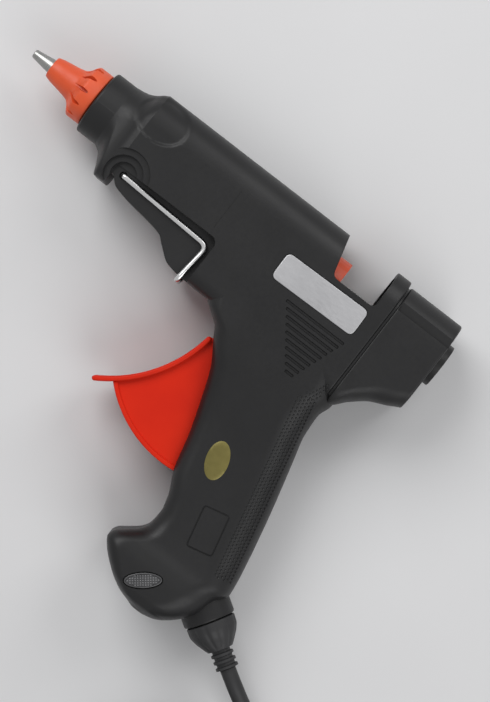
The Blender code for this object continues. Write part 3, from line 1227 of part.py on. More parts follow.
def feed_carriage():
    """The sleeve round the stick, with ears for the clamp, side wings and a spring lug."""
    body = turned("feed_carriage", [
        (CARRIAGE_BORE_RADIUS, 0), (CARRIAGE_RADIUS, 0), (CARRIAGE_RADIUS, CARRIAGE_LENGTH),
        (CARRIAGE_BORE_RADIUS, CARRIAGE_LENGTH)],
        at(CARRIAGE_FRONT_AHEAD, 0), Vector((1, 0, 0)), 28)
    ear_outline = ([(-CARRIAGE_EAR_FRONT_AHEAD, -CARRIAGE_BORE_RADIUS)]
                   + arc((-CLAMP_AHEAD, -CLAMP_DEPTH), CLAMP_HUB_RADIUS, math.pi * 7 / 6,
                         math.pi * 11 / 6, 7)
                   + [(-CARRIAGE_SLOT_REAR_AHEAD + CLAMP_HUB_RADIUS / 2, -CARRIAGE_BORE_RADIUS)])
    wing_middle = -CARRIAGE_WING_DEPTH
    for side, label in ((1, "left"), (-1, "right")):
        ear_out = CARRIAGE_EAR_INNER + CARRIAGE_EAR_THICKNESS
        join(body, plate("feed_carriage_ear_" + label, [ear_outline],
                         side * CARRIAGE_EAR_INNER, side * ear_out),
             box("feed_carriage_wing_" + label,
                 at(CARRIAGE_WING_FRONT_AHEAD, wing_middle + CARRIAGE_WING_THICKNESS / 2,
                    side * (CARRIAGE_RADIUS + CARRIAGE_BORE_RADIUS) / 2),
                 at(CARRIAGE_WING_REAR_AHEAD, wing_middle - CARRIAGE_WING_THICKNESS / 2,
                    side * CARRIAGE_WING_HALF_SPAN)))
    lug_rear = SPRING_START_AHEAD + GAP
    join(body, box("feed_carriage_lug", at(lug_rear + LUG_THICKNESS, -SPRING_DEPTH + SPRING_RADIUS,
                                           -CARRIAGE_EAR_INNER),
                   at(lug_rear, -SPRING_DEPTH - SPRING_RADIUS, -LUG_SIDE)))
    pivot = at(CLAMP_AHEAD, -CLAMP_DEPTH)
    across = Vector((0, 0, CARRIAGE_RADIUS))
    cut(body,
        rod("feed_carriage_bore", at(CARRIAGE_FRONT_AHEAD + OVERRUN, 0),
            at(CARRIAGE_REAR_AHEAD - OVERRUN, 0), CARRIAGE_BORE_RADIUS - GAP / 2, 28),
        box("feed_carriage_slot", at(CARRIAGE_SLOT_FRONT_AHEAD, 0, CARRIAGE_EAR_INNER - GAP / 3),
            at(CARRIAGE_SLOT_REAR_AHEAD, -CLAMP_DEPTH, -CARRIAGE_EAR_INNER + GAP / 3)),
        rod("feed_carriage_pivot_hole", pivot - across, pivot + across, PIN_RADIUS + GAP, 12))
    own(body, TRIGGER_ORANGE)


def drive_pin_place():
    """Where the clamp's drive pin rests in the trigger's fork."""
    lean = TRIGGER_SWING / 2
    return at(TRIGGER_AHEAD - ARM_HEIGHT * math.tan(lean), ARM_HEIGHT - TRIGGER_DEPTH)


def clamp_lever():
    """The toothed bell crank that the trigger turns into the stick."""
    pivot = (-CLAMP_AHEAD, -CLAMP_DEPTH)
    drive = tuple(drive_pin_place()[:2])
    tooth = (-CLAMP_TOOTH_AHEAD, -CLAMP_TOOTH_DEPTH)
    rise = CLAMP_TOOTH_HEIGHT
    outline = arc(drive, CLAMP_ARM_RADIUS, -math.pi, math.pi / 6, 7)
    outline += arc(pivot, CLAMP_HUB_RADIUS, -math.pi / 12, math.pi / 3, 4)
    for index in range(CLAMP_TEETH):
        along = tooth[0] + rise * (CLAMP_TEETH - 1 - index) * 3 / 2
        outline += [(along + rise, tooth[1] - rise * (2 - index / 2)),
                    (along, tooth[1] - rise * (CLAMP_TEETH - 1 - index) / 4)]
    outline += [(tooth[0] - rise / 2, tooth[1] - 2 * rise)]
    outline += arc(pivot, CLAMP_HUB_RADIUS, math.pi * 7 / 6, math.pi * 15 / 12, 2)
    lever = plate("clamp_lever", [outline], -CLAMP_HALF_WIDTH, CLAMP_HALF_WIDTH)
    across = Vector((0, 0, CARRIAGE_RADIUS))
    for label, place in (("pivot", at(CLAMP_AHEAD, -CLAMP_DEPTH)), ("drive", drive_pin_place())):
        cut(lever, rod(f"clamp_lever_{label}_hole", place - across, place + across,
                       PIN_RADIUS + GAP, 12))
    own(lever, ZINC_STEEL)
    for name, place, half in (
            ("clamp_pivot_pin", at(CLAMP_AHEAD, -CLAMP_DEPTH), CLAMP_PIVOT_HALF_LENGTH),
            ("clamp_drive_pin", drive_pin_place(), CLAMP_DRIVE_HALF_LENGTH)):
        reach = Vector((0, 0, half))
        own(rod(name, place - reach, place + reach, PIN_RADIUS, 12), BRIGHT_WIRE)


def return_spring():
    """The stretched feed spring from the carriage's lug to the right half's post."""
    axis = Vector((0, -SPRING_DEPTH, -SPRING_SIDE))
    start = -SPRING_START_AHEAD
    end = -SPRING_END_AHEAD
    curl_start = start + 2 * SPRING_TAIL
    curl_end = end - 2 * SPRING_TAIL
    steps = SPRING_CURLS * SPRING_POINTS_PER_CURL
    radius = SPRING_RADIUS - SPRING_WIRE_RADIUS
    places = [axis + Vector((start, 0, 0)), axis + Vector((start + SPRING_TAIL, 0, 0))]
    for step in range(steps + 1):
        turn = math.tau * step / SPRING_POINTS_PER_CURL
        places.append(axis + Vector((between(curl_start, curl_end, step / steps),
                                     radius * math.cos(turn), radius * math.sin(turn))))
    places += [axis + Vector((end - SPRING_TAIL, 0, 0)), axis + Vector((end, 0, 0))]
    own(tube("return_spring", places, SPRING_WIRE_RADIUS, 1), BRIGHT_WIRE)


def face_arc():
    """Centre, radius and end angles of the finger face's hollow."""
    top = Vector((-FACE_TOP_AHEAD, -FACE_TOP_DEPTH))
    toe = Vector((-TOE_AHEAD, -TOE_DEPTH))
    chord = toe - top
    radius = (chord.length_squared / 4 + FACE_HOLLOW ** 2) / (2 * FACE_HOLLOW)
    normal = Vector((chord.y, -chord.x)).normalized()
    centre = (top + toe) / 2 + normal * (radius - FACE_HOLLOW)
    ends = [math.atan2(point.y - centre.y, point.x - centre.x) for point in (top, toe)]
    return centre, radius, ends


def trigger():
    """Sector web with finger face, rim strip, pivot hub and the fork's two arms."""
    pivot = Vector((-TRIGGER_AHEAD, -TRIGGER_DEPTH))
    centre, radius, (top_angle, toe_angle) = face_arc()
    rim_start = pivot + TRIGGER_RADIUS * Vector((math.cos(RIM_START_ANGLE),
                                                 math.sin(RIM_START_ANGLE)))
    rim_angle = math.atan2(rim_start.y - centre.y, rim_start.x - centre.x)
    skin = TRIGGER_FACE_THICKNESS
    web_outline = (arc(centre, radius + skin / 2, top_angle, rim_angle, 9)
                   + arc(pivot, TRIGGER_RADIUS - TRIGGER_RIM_THICKNESS / 2, RIM_START_ANGLE,
                         RIM_END_ANGLE, 9)
                   + arc(pivot, TRIGGER_HUB_RADIUS - GAP, -math.pi / 4, math.pi / 2, 4))
    web = plate("trigger", [web_outline], -TRIGGER_HALF_WIDTH, TRIGGER_HALF_WIDTH)
    pocket = (arc(pivot, TRIGGER_POCKET_INNER, TRIGGER_POCKET_START, TRIGGER_POCKET_END, 4)
              + arc(pivot, TRIGGER_POCKET_OUTER, TRIGGER_POCKET_END, TRIGGER_POCKET_START, 10))
    cut(web, plate("trigger_pocket", [pocket], -TRIGGER_POCKET_HALF_WIDTH,
                   TRIGGER_POCKET_HALF_WIDTH))
    face = (arc(centre, radius, top_angle, toe_angle, 11)
            + arc(centre, radius + skin, toe_angle, top_angle, 11))
    rim = (arc(pivot, TRIGGER_RADIUS, RIM_START_ANGLE, RIM_END_ANGLE, 11)
           + arc(pivot, TRIGGER_RADIUS - TRIGGER_RIM_THICKNESS, RIM_END_ANGLE,
                 RIM_START_ANGLE, 11))
    hub = Vector((0, 0, TRIGGER_HUB_HALF_WIDTH))
    join(web,
         plate("trigger_face", [face], -TRIGGER_FACE_HALF_WIDTH, TRIGGER_FACE_HALF_WIDTH),
         plate("trigger_rim", [rim], -TRIGGER_RIM_HALF_WIDTH, TRIGGER_RIM_HALF_WIDTH),
         rod("trigger_hub", pivot.to_3d() - hub, pivot.to_3d() + hub, TRIGGER_HUB_RADIUS, 20))
    drive = Vector(drive_pin_place()[:2])
    heading = (drive - pivot).normalized()
    for side, label in ((1, "left"), (-1, "right")):
        join(web, plate("trigger_arm_" + label, [capsule(pivot, drive, ARM_HALF_WIDTH)],
                        side * ARM_INNER, side * (ARM_INNER + ARM_THICKNESS)))
    slot = capsule(pivot + heading * (ARM_HEIGHT - GAP), drive + heading * GAP, PIN_RADIUS + GAP)
    wide = TRIGGER_FACE_HALF_WIDTH + OVERRUN
    across = Vector((0, 0, wide))
    cut(web, plate("trigger_slots", [slot], -wide, wide),
        rod("trigger_pin_hole", pivot.to_3d() - across, pivot.to_3d() + across,
            TRIGGER_PIN_RADIUS + GAP, 14))
    own(web, TRIGGER_ORANGE)
    reach = Vector((0, 0, TRIGGER_PIN_HALF_LENGTH))
    own(rod("trigger_pin", pivot.to_3d() - reach, pivot.to_3d() + reach, TRIGGER_PIN_RADIUS, 14),
        BRIGHT_WIRE)


def rounded_path(corners, bend, count=5):
    """Straight runs with each corner rounded by an arc-like curve."""
    points = [corners[0]]
    for before, corner, after in zip(corners, corners[1:], corners[2:]):
        start = corner + (before - corner).normalized() * bend
        end = corner + (after - corner).normalized() * bend
        for share in np.linspace(0, 1, count):
            points.append(start.lerp(corner, share).lerp(corner.lerp(end, share), share))
    return points + [corners[-1]]


def wire_stand():
    """One bent wire: pivot ends turned in, two arms, two legs and a crossbar."""
    side = STAND_ARM_SIDE
    rear = STAND_AHEAD - STAND_ARM
    low = -STAND_DEPTH - STAND_ARM_DROP
    half = [at(STAND_AHEAD, -STAND_DEPTH, STAND_PIVOT_INNER), at(STAND_AHEAD, -STAND_DEPTH, side),
            at(rear, low, side), at(rear + STAND_LEG_FORWARD, -STAND_LEG_DEPTH, side)]
    other = [Vector((point.x, point.y, -point.z)) for point in reversed(half)]
    path = rounded_path(half + other, STAND_INNER_BEND)
    own(tube("wire_stand", path, STAND_WIRE_RADIUS, 2), BRIGHT_WIRE)


def stick_inlet_collar():
    """The flanged ring that guides the stick in through the rear face."""
    flange_start = REAR_FACE_AHEAD + WALL + GAP
    flange_end = flange_start + COLLAR_FLANGE_THICKNESS
    mouth = COLLAR_BORE_RADIUS + SEAM_WIDTH
    collar = turned("stick_inlet_collar", [
        (mouth, 0), (COLLAR_RADIUS, 0), (COLLAR_RADIUS, flange_start),
        (COLLAR_FLANGE_RADIUS, flange_start), (COLLAR_FLANGE_RADIUS, flange_end),
        (COLLAR_SLEEVE_RADIUS, flange_end), (COLLAR_SLEEVE_RADIUS, COLLAR_LENGTH),
        (COLLAR_BORE_RADIUS, COLLAR_LENGTH), (COLLAR_BORE_RADIUS, SEAM_WIDTH)],
        at(0, 0), Vector((-1, 0, 0)), 24)
    own(collar, HOUSING_BLACK)


def screw(name, seat, inwards, head_radius, head_height, radius, length):
    """A pan-head screw whose head rests just over its seat."""
    piece = turned(name, [
        (0, -head_height), (head_radius - GAP, -head_height), (head_radius, GAP - head_height),
        (head_radius, 0), (radius, 0), (radius, length - radius), (radius / 2, length),
        (0, length)], seat, inwards, 10)
    return own(piece, ZINC_STEEL)


def screws():
    for index, (ahead, depth) in enumerate(SCREW_PLACES):
        seat = at(ahead, -depth, -SCREW_SHOULDER - GAP)
        screw(f"housing_screw_{index + 1}", seat, Vector((0, 0, 1)), SCREW_HEAD_RADIUS,
              SCREW_HEAD_HEIGHT, SCREW_RADIUS, SCREW_SHOULDER + GAP + SCREW_BITE)
    for index in range(2):
        seat = clamp_screw_place(index, CORD_CLAMP_HEIGHT + GAP)
        screw(f"cord_clamp_screw_{index + 1}", seat, Vector((0, 0, -1)), CLAMP_SCREW_HEAD_RADIUS,
              CLAMP_SCREW_HEAD_HEIGHT, CLAMP_SCREW_RADIUS,
              CORD_CLAMP_HEIGHT + GAP + CLAMP_SCREW_BITE)


def indicator():
    """The oval lens in the left half's butt, and the glow lamp behind it."""
    place = (-LENS_AHEAD, -LENS_DROP)
    flange_out = LENS_SEAT_SIDE
    lens = plate("indicator_lens", [oval(place, LENS_LENGTH, LENS_WIDTH, LENS_ANGLE)],
                 flange_out - LENS_FLANGE_THICKNESS / 2, BUTT_HALF_WIDTH)
    flange = oval(place, LENS_LENGTH + 2 * LENS_FLANGE, LENS_WIDTH + 2 * LENS_FLANGE, LENS_ANGLE)
    join(lens, plate("indicator_lens_flange", [flange], flange_out - LENS_FLANGE_THICKNESS,
                     flange_out))
    own(lens, LENS_SMOKE)
    along = Vector((math.cos(LENS_ANGLE), math.sin(LENS_ANGLE), 0)) * LAMP_LENGTH / 2
    seat = flange_out - LENS_FLANGE_THICKNESS - GAP
    middle = at(LENS_AHEAD, -LENS_DROP, seat - LAMP_RADIUS)
    own(rod("indicator_lamp", middle - along, middle + along, LAMP_RADIUS, 12), LAMP_GLASS)


def cord_boot():
    """The strain relief: a bell outside the heel, a neck through it, and a ribbed sleeve."""
    inside = -SOCKET_LENGTH + WALL - GAP
    mouth = SOCKET_LENGTH + GAP
    bell_end = mouth + CORD_BOOT_BELL_LENGTH
    profile = [(0, inside - BOOT_FLANGE_THICKNESS - SHEATH_LENGTH),
               (CORD_RADIUS, inside - BOOT_FLANGE_THICKNESS - SHEATH_LENGTH),
               (CORD_RADIUS, inside - BOOT_FLANGE_THICKNESS),
               (BOOT_FLANGE_RADIUS, inside - BOOT_FLANGE_THICKNESS),
               (BOOT_FLANGE_RADIUS, inside), (BOOT_NECK_RADIUS, inside), (BOOT_NECK_RADIUS, mouth)]
    for along_share, radius_share in BELL_SHARES:
        profile.append((between(BOOT_TIP_RADIUS, BOOT_ROOT_RADIUS, radius_share),
                        between(mouth, bell_end, along_share)))
    step = (CORD_BOOT_LENGTH - bell_end) / (2 * CORD_BOOT_RIBS)
    slot_radius = BOOT_TIP_RADIUS - CORD_BOOT_GROOVE
    for rib in range(CORD_BOOT_RIBS):
        start = bell_end + 2 * rib * step
        profile += [(slot_radius, start + GAP), (slot_radius, start + step),
                    (BOOT_TIP_RADIUS, start + step + GAP), (BOOT_TIP_RADIUS, start + 2 * step)]
    profile.append((0, CORD_BOOT_LENGTH))
    boot = turned("cord_boot", profile, outlet_point(0), outlet_aim(), 16)
    own(boot, CORD_BLACK)


def cord_clamp():
    """The saddle that holds the sheath down on the right half's block."""
    clamp = plate("cord_clamp", [clamp_block_outline()], PARTING_GAP, CORD_CLAMP_HEIGHT)
    end = CORD_CLAMP_LENGTH
    cut(clamp, rod("cord_clamp_groove", outlet_point(CORD_CLAMP_ALONG - end),
                   outlet_point(CORD_CLAMP_ALONG + end), CORD_RADIUS + GAP, 16))
    for index in range(2):
        cut(clamp, rod(f"cord_clamp_hole_{index + 1}", clamp_screw_place(index, -OVERRUN),
                       clamp_screw_place(index, CORD_CLAMP_HEIGHT + OVERRUN),
                       CLAMP_SCREW_RADIUS + GAP, 10))
    own(clamp, HOUSING_BLACK)


def leads():
    """Crimped joints, the two leads up to the heater and the two from the sheath."""
    sheath_end = outlet_point(-SOCKET_LENGTH + WALL - GAP - BOOT_FLANGE_THICKNESS - SHEATH_LENGTH
                              - GAP)
    tab_end = (HEATER_FRONT_AHEAD + HEATER_REAR_AHEAD - STACK_LENGTH) / 2 - TAB_LENGTH
    upper = -POCKET_TOP_DEPTH - 2 * GAP - SLEEVE_WALL - ELECTRODE_THICKNESS / 2
    lower = upper - ELECTRODE_THICKNESS - PTC_THICKNESS - 2 * GAP
    for index, (side, tab_height) in enumerate(((1, upper), (-1, lower))):
        ahead = JOINT_AHEADS[index]
        top = at(ahead, -JOINT_DEPTH)
        bottom = at(ahead, -JOINT_DEPTH - JOINT_LENGTH)
        own(rod(f"lead_joint_{index + 1}", bottom, top, JOINT_RADIUS, 12), LAMP_GLASS)
        route = [top + Vector((0, GAP, 0)), top + Vector((0, GAP + 2 * LEAD_RADIUS, 0))]
        for ahead_share, depth_share, side_share in LEAD_GRIP_SHARES:
            ahead = GRIP_SPREAD_START_AHEAD + GRIP_SPREAD * ahead_share
            depth = HEEL_DEPTH + (JOINT_DEPTH - HEEL_DEPTH) * depth_share
            route.append(at(ahead, -depth, side * BARREL_HALF_WIDTH * side_share))
        for ahead_share, depth_share, side_share in LEAD_BARREL_SHARES:
            route.append(at(HEATER_REAR_AHEAD * ahead_share, -HEEL_DEPTH * depth_share,
                            side * BARREL_HALF_WIDTH * side_share))
        route.append(at(tab_end - 2 * LEAD_RADIUS, tab_height, side * TAB_SIDE))
        route.append(at(tab_end - GAP, tab_height, side * TAB_SIDE))
        own(tube(f"heater_lead_{index + 1}", route, LEAD_RADIUS, 1), LEAD_RED)
        start = sheath_end + Vector((0, 0, side * CORD_RADIUS / 2))
        turn_down = bottom + Vector((0, -LEAD_BEND, side * CORD_RADIUS / 2))
        supply = [start, start - outlet_aim() * LEAD_BEND, turn_down,
                  bottom - Vector((0, GAP, 0))]
        own(tube(f"supply_lead_{index + 1}", rounded_path(supply, LEAD_BEND / 2, 3),
                 LEAD_RADIUS, 1), LEAD_RED)


nozzle_and_boot()
melt_chamber()
heater_stack()
inlet_sleeve_and_clip()
feed_carriage()
clamp_lever()
return_spring()
trigger()
wire_stand()
stick_inlet_collar()
screws()
indicator()
cord_boot()
cord_clamp()
leads()


def floor_point(x, y, height):
    """A point in the side plane at a height over the floor, in the gun frame."""
    return Vector((x, y, height - BARREL_HALF_WIDTH))


def coil_places():
    """Two flat layers of one cord: inwards on the lower one, outwards on the upper."""
    turns = np.arange(COIL_STEPS + 1) / COIL_POINTS_PER_TURN
    away = turns - COIL_INWARD_TURNS
    radii = COIL_LEAST_RADIUS + COIL_PITCH * np.sqrt(away ** 2 + COIL_TURNING_ROUND ** 2)
    rise = np.clip(away / COIL_CLIMB_TURNS + 1 / 2, 0, 1)
    heights = COIL_LIFT + COIL_PITCH * rise * rise * (3 - 2 * rise)
    angles = COIL_START_BEARING - math.tau * turns
    return [floor_point(-COIL_AHEAD + radius * math.cos(angle),
                        -COIL_DEPTH + radius * math.sin(angle), height)
            for radius, angle, height in zip(radii, angles, heights)]


def least_gap(places, radius):
    """The least clear distance between a tube's turns, by its points and mid-points."""
    line = np.array(places)
    line = np.concatenate((line, (line[1:] + line[:-1]) / 2))
    order = np.concatenate((np.arange(len(places)), np.arange(len(places) - 1) + 1 / 2))
    apart = np.linalg.norm(line[:, None] - line[None], axis=2)
    near = np.abs(order[:, None] - order[None]) < COIL_POINTS_PER_TURN / 2
    return float(np.where(near, np.inf, apart).min() - 2 * radius)


def curve_between(start, start_way, end, end_way, count):
    """A smooth cubic from one point and heading to another."""
    points = []
    for share in np.linspace(0, 1, count):
        first = start.lerp(start + start_way, share)
        middle = (start + start_way).lerp(end - end_way, share)
        last = (end - end_way).lerp(end, share)
        points.append(first.lerp(middle, share).lerp(middle.lerp(last, share), share))
    return points


def level_way(start, end):
    """The level direction from one point to another."""
    return Vector((end.x - start.x, end.y - start.y, 0)).normalized()


def mains_cord():
    """The lead from the boot down to the floor, the tied coil, and the tail to the plug."""
    coil = coil_places()
    print("least gap between the coil's turns, mm:", round(least_gap(coil, CORD_RADIUS) * 1000, 3))
    reach = (coil[0] - outlet_point(CORD_BOOT_LENGTH)).length / 3
    heading_in = level_way(coil[0], coil[1])
    heading = level_way(coil[-2], coil[-1])
    straight = 2 * CORD_RADIUS
    coil = [coil[0] - heading_in * straight] + coil + [coil[-1] + heading * straight]
    lead = curve_between(outlet_point(CORD_BOOT_LENGTH + GAP), outlet_aim() * reach,
                         coil[0] - heading_in * GAP, heading_in * reach, LEAD_POINTS)
    own(tube("cord_lead", lead, CORD_RADIUS, 2), CORD_BLACK)
    own(tube("cord_coil", coil, CORD_RADIUS, 1), CORD_BLACK)
    tail_start = coil[-1] + heading * GAP
    leftward = Vector((-1, 0, 0))
    plug_start = floor_point(tail_start.x - TAIL_LENGTH, tail_start.y, PLUG_THICKNESS / 2)
    tail = curve_between(tail_start, heading * TAIL_LENGTH / 2, plug_start - leftward * GAP,
                         leftward * TAIL_LENGTH / 3, TAIL_POINTS)
    own(tube("cord_tail", tail, CORD_RADIUS, 2), CORD_BLACK)
    plug(plug_start)
    cord_tie()


def plug(start):
    """A flat two-pin plug body, its cord side at the start, with its pins to the left."""
    outline = [(start.x, start.y - PLUG_NECK_HALF_WIDTH)]
    for side in (-1, 1):
        row = [(start.x - PLUG_NECK_LENGTH, start.y + side * PLUG_NECK_HALF_WIDTH),
               (start.x - PLUG_SHOULDER_LENGTH, start.y + side * PLUG_HALF_WIDTH),
               (start.x - PLUG_LENGTH, start.y + side * PLUG_HALF_WIDTH)]
        outline += row if side < 0 else row[::-1]
    outline.append((start.x, start.y + PLUG_NECK_HALF_WIDTH))
    half = PLUG_THICKNESS / 2
    body = plate("plug_body", [outline], start.z - half, start.z + half)
    bevel = body.modifiers.new("edges", "BEVEL")
    bevel.width = PLUG_EDGE
    bevel.segments = 2
    own(body, CORD_BLACK)
    for index, side in enumerate((-1, 1)):
        base = start + Vector((-PLUG_LENGTH - GAP, side * PLUG_PIN_HALF_SPACING, 0))
        length = PLUG_PIN_LENGTH
        pin = turned(f"plug_pin_{index + 1}", [
            (0, 0), (PLUG_PIN_RADIUS, 0), (PLUG_PIN_RADIUS, length - PLUG_PIN_RADIUS),
            (PLUG_PIN_RADIUS * 3 / 4, length - PLUG_PIN_RADIUS / 3), (0, length)],
            base, Vector((-1, 0, 0)), 14)
        own(pin, NOZZLE_METAL)


def cord_tie():
    """A strap closed round both layers of the coil, across its right side."""
    room = CORD_RADIUS + TIE_CLEARANCE
    inner = COIL_LEAST_RADIUS + COIL_PITCH * TIE_FIRST_TURN_SHARE - room
    outer = COIL_LEAST_RADIUS + COIL_PITCH * (COIL_INWARD_TURNS - TIE_FIRST_TURN_SHARE) + room
    low = COIL_LIFT - room
    high = COIL_LIFT + COIL_PITCH + room
    middle = ((inner + outer) / 2, (low + high) / 2)
    width = outer - inner
    height = high - low
    strap = []
    for grow in (TIE_THICKNESS, 0.0):
        corner = TIE_CORNER if grow else TIE_CORNER - TIE_THICKNESS
        strap.append(rounded_box_outline(height + 2 * grow, width + 2 * grow, corner, middle, 0))
    rings = []
    for y in (-TIE_WIDTH / 2, TIE_WIDTH / 2):
        rings.append([[floor_point(place[0] - COIL_AHEAD, y - COIL_DEPTH, place[1])
                       for place in outline] for outline in strap])
    bm = bmesh.new()
    loops = [[[bm.verts.new(point) for point in outline] for outline in ring] for ring in rings]
    count = len(strap[0])
    around = (loops[0][0], loops[1][0], loops[1][1], loops[0][1])
    for first, second in zip(around, around[1:] + around[:1]):
        for i in range(count):
            j = (i + 1) % count
            bm.faces.new((first[i], first[j], second[j], second[i]))
    own(mesh_piece("cord_tie", bm), CORD_BLACK)


mains_cord()


def hang(name, place, parent, pieces):
    """An empty on a joint's axis, with the pieces that move about it."""
    axis = bpy.data.objects.new(name, None)
    PARTS.objects.link(axis)
    axis.parent = parent
    own_place = Vector(place)
    axis.location = own_place
    if parent is not GUN:
        axis.matrix_parent_inverse = Matrix.Translation(-parent.location)
    for piece in pieces:
        moving = bpy.data.objects[piece]
        moving.parent = axis
        moving.matrix_parent_inverse = Matrix.Translation(-own_place)
    return axis


hang("trigger_axis", at(TRIGGER_AHEAD, -TRIGGER_DEPTH), GUN, ("trigger",))
SLIDE = hang("carriage_slide", at(CARRIAGE_REAR_AHEAD, 0), GUN,
             ("feed_carriage", "clamp_pivot_pin"))
hang("clamp_axis", at(CLAMP_AHEAD, -CLAMP_DEPTH), SLIDE, ("clamp_lever", "clamp_drive_pin"))
hang("stand_axis", at(STAND_AHEAD, -STAND_DEPTH), GUN, ("wire_stand",))
GUN.location = (GUN_REACH / 2, (GRIP_DEPTH - ROOF_HEIGHT) / 2, BARREL_HALF_WIDTH)
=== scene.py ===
import bmesh
import bpy
import numpy as np
from mathutils import Matrix, Vector


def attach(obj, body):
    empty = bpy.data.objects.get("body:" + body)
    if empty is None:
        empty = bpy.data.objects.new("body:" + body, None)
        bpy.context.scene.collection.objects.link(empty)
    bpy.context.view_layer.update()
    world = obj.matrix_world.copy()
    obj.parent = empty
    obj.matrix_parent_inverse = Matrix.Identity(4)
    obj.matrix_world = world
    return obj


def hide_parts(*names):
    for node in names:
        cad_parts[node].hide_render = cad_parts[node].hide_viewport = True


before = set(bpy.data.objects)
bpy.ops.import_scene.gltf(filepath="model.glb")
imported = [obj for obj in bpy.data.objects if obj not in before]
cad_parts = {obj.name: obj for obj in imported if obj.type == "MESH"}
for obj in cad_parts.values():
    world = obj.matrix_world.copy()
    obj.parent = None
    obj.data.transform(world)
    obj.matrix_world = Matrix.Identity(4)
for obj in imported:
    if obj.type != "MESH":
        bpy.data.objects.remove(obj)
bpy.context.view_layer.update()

# Camera. It looks straight down on the gun's left side from a little over a metre, turned
# so that the stick's axis runs down to the right, as the gun lies in the photograph.
def linked(name, data):
    """A new object, linked to the scene."""
    piece = bpy.data.objects.new(name, data)
    bpy.context.scene.collection.objects.link(piece)
    return piece


photo_lens = bpy.data.cameras.new("photo_camera")
photo_lens.lens = 150
photo_lens.sensor_width = 36
photo_camera = linked("photo_camera", photo_lens)
turn_cos, turn_sin = 0.7911, 0.6117
camera_x, camera_y, camera_height = 0.03402, 0.02099, 1.0973
photo_camera.matrix_world = Matrix((
    (turn_cos, -turn_sin, 0, camera_x), (turn_sin, turn_cos, 0, camera_y),
    (0, 0, 1, camera_height), (0, 0, 0, 1)))
bpy.context.scene.camera = photo_camera


# Mains cord. A round black rubber-like PVC flex of 6 mm. It leaves the strain relief, comes
# down to the floor, is wound in two flat layers of three turns, and ends in a moulded plug.
INLET = np.array([0.09465, 0.06045, 0.018])


def gun(ahead, height, side=0.0):
    """The point that lies so far ahead of the inlet along -X, so high along +Y and so far
    out along +Z, counted from the inlet's centre."""
    ahead, height, side = np.broadcast_arrays(ahead, height, side)
    return INLET + np.stack((-ahead, height, side), axis=-1)


def cubic(start, start_way, end, end_way, count):
    """A smooth bend: each point mixes the start, the start plus its way, the end less its
    way, and the end, by the four cubic Bernstein weights of its share of the bend."""
    s = np.linspace(0, 1, count)[:, None]
    return ((1 - s) ** 3 * start + 3 * s * (1 - s) ** 2 * (start + start_way)
            + 3 * s * s * (1 - s) * (end - end_way) + s ** 3 * end)


def rounded(points, cut, closed=False, steps=5):
    """A line with its corners eased: each corner gives way to a parabola that leaves each of
    its two sides the cut's length away, or at 0.45 of a shorter side."""
    points = np.asarray(points, float)
    before, after = np.roll(points, 1, axis=0), np.roll(points, -1, axis=0)
    back = np.linalg.norm(before - points, axis=1, keepdims=True)
    on = np.linalg.norm(after - points, axis=1, keepdims=True)
    part = np.minimum(cut, 0.45 * np.minimum(back, on))
    start = (points + (before - points) * part / back)[:, None]
    end = (points + (after - points) * part / on)[:, None]
    t = np.linspace(0, 1, steps + 1)[None, :, None]
    bends = (1 - t) ** 2 * start + 2 * t * (1 - t) * points[:, None] + t * t * end
    if closed:
        return bends.reshape(-1, points.shape[1])
    return np.concatenate((points[:1], bends[1:-1].reshape(-1, points.shape[1]), points[-1:]))


def unit(ways):
    """The same directions at length one: each over the root of the sum of its squares."""
    return ways / np.linalg.norm(ways, axis=-1, keepdims=True)


def heading(turn):
    """The direction at an angle in a plane: the angle's cosine and its sine."""
    return np.stack((np.cos(turn), np.sin(turn)), axis=-1)


def circle(count):
    """So many equal angles once round, from zero."""
    return np.linspace(0, 2 * np.pi, count, endpoint=False)


def smooth(share):
    """A soft step: three times the share's square less twice its cube, held within 0 to 1."""
    share = np.clip(share, 0, 1)
    return share * share * (3 - 2 * share)


def box(left, low, right, high):
    """A rectangle's four corners, anticlockwise from the low left one."""
    return np.array([(left, low), (right, low), (right, high), (left, high)], float)


def tube_grid(path, radius, around, reference=(0, 0, 1)):
    """Rings round a path: each point is the path's place plus the radius times cos(a) across
    plus sin(a) up, where across is square to the path and to the reference, and up to both."""
    way = unit(np.gradient(path, axis=0))
    across = unit(np.cross(reference, way))
    up = np.cross(way, across)
    a = circle(around)[None, :, None]
    return path[:, None] + radius * (np.cos(a) * across[:, None] + np.sin(a) * up[:, None])


def surface(name, grid, ring=True, capped=True):
    """A mesh over a grid of points. Each cell joins its four corners, a ring joins the last
    column to the first, and a cap closes the first and the last row with one face each."""
    rows, columns = grid.shape[:2]
    index = np.arange(rows * columns).reshape(rows, columns)
    ends = [index[0, ::-1].tolist(), index[-1].tolist()] if capped else []
    if ring:
        index = np.concatenate((index, index[:, :1]), axis=1)
    cells = np.stack((index[:-1, :-1], index[:-1, 1:], index[1:, 1:], index[1:, :-1]), axis=-1)
    mesh = bpy.data.meshes.new(name)
    mesh.from_pydata(grid.reshape(-1, 3).tolist(), [], cells.reshape(-1, 4).tolist() + ends)
    return outward(mesh)


def turned(name, profile, start, way, steps=64):
    """A profile of (radius, distance along) swept once round a line: each point lies its
    distance along the line and its radius out, turned through equal angles. A profile that
    leaves the line open is closed into a ring."""
    profile = np.asarray(profile, float)
    if profile[0, 0] > 0:
        profile = np.concatenate((profile, profile[:1]))
    way = unit(way)
    across = unit(np.cross(way, (0.3, 0.5, 0.8)))
    a = circle(steps)[:, None]
    spoke = np.cos(a) * across + np.sin(a) * np.cross(way, across)
    grid = start + profile[:, None, 1:] * way + profile[:, None, :1] * spoke
    return surface(name, grid, capped=False)


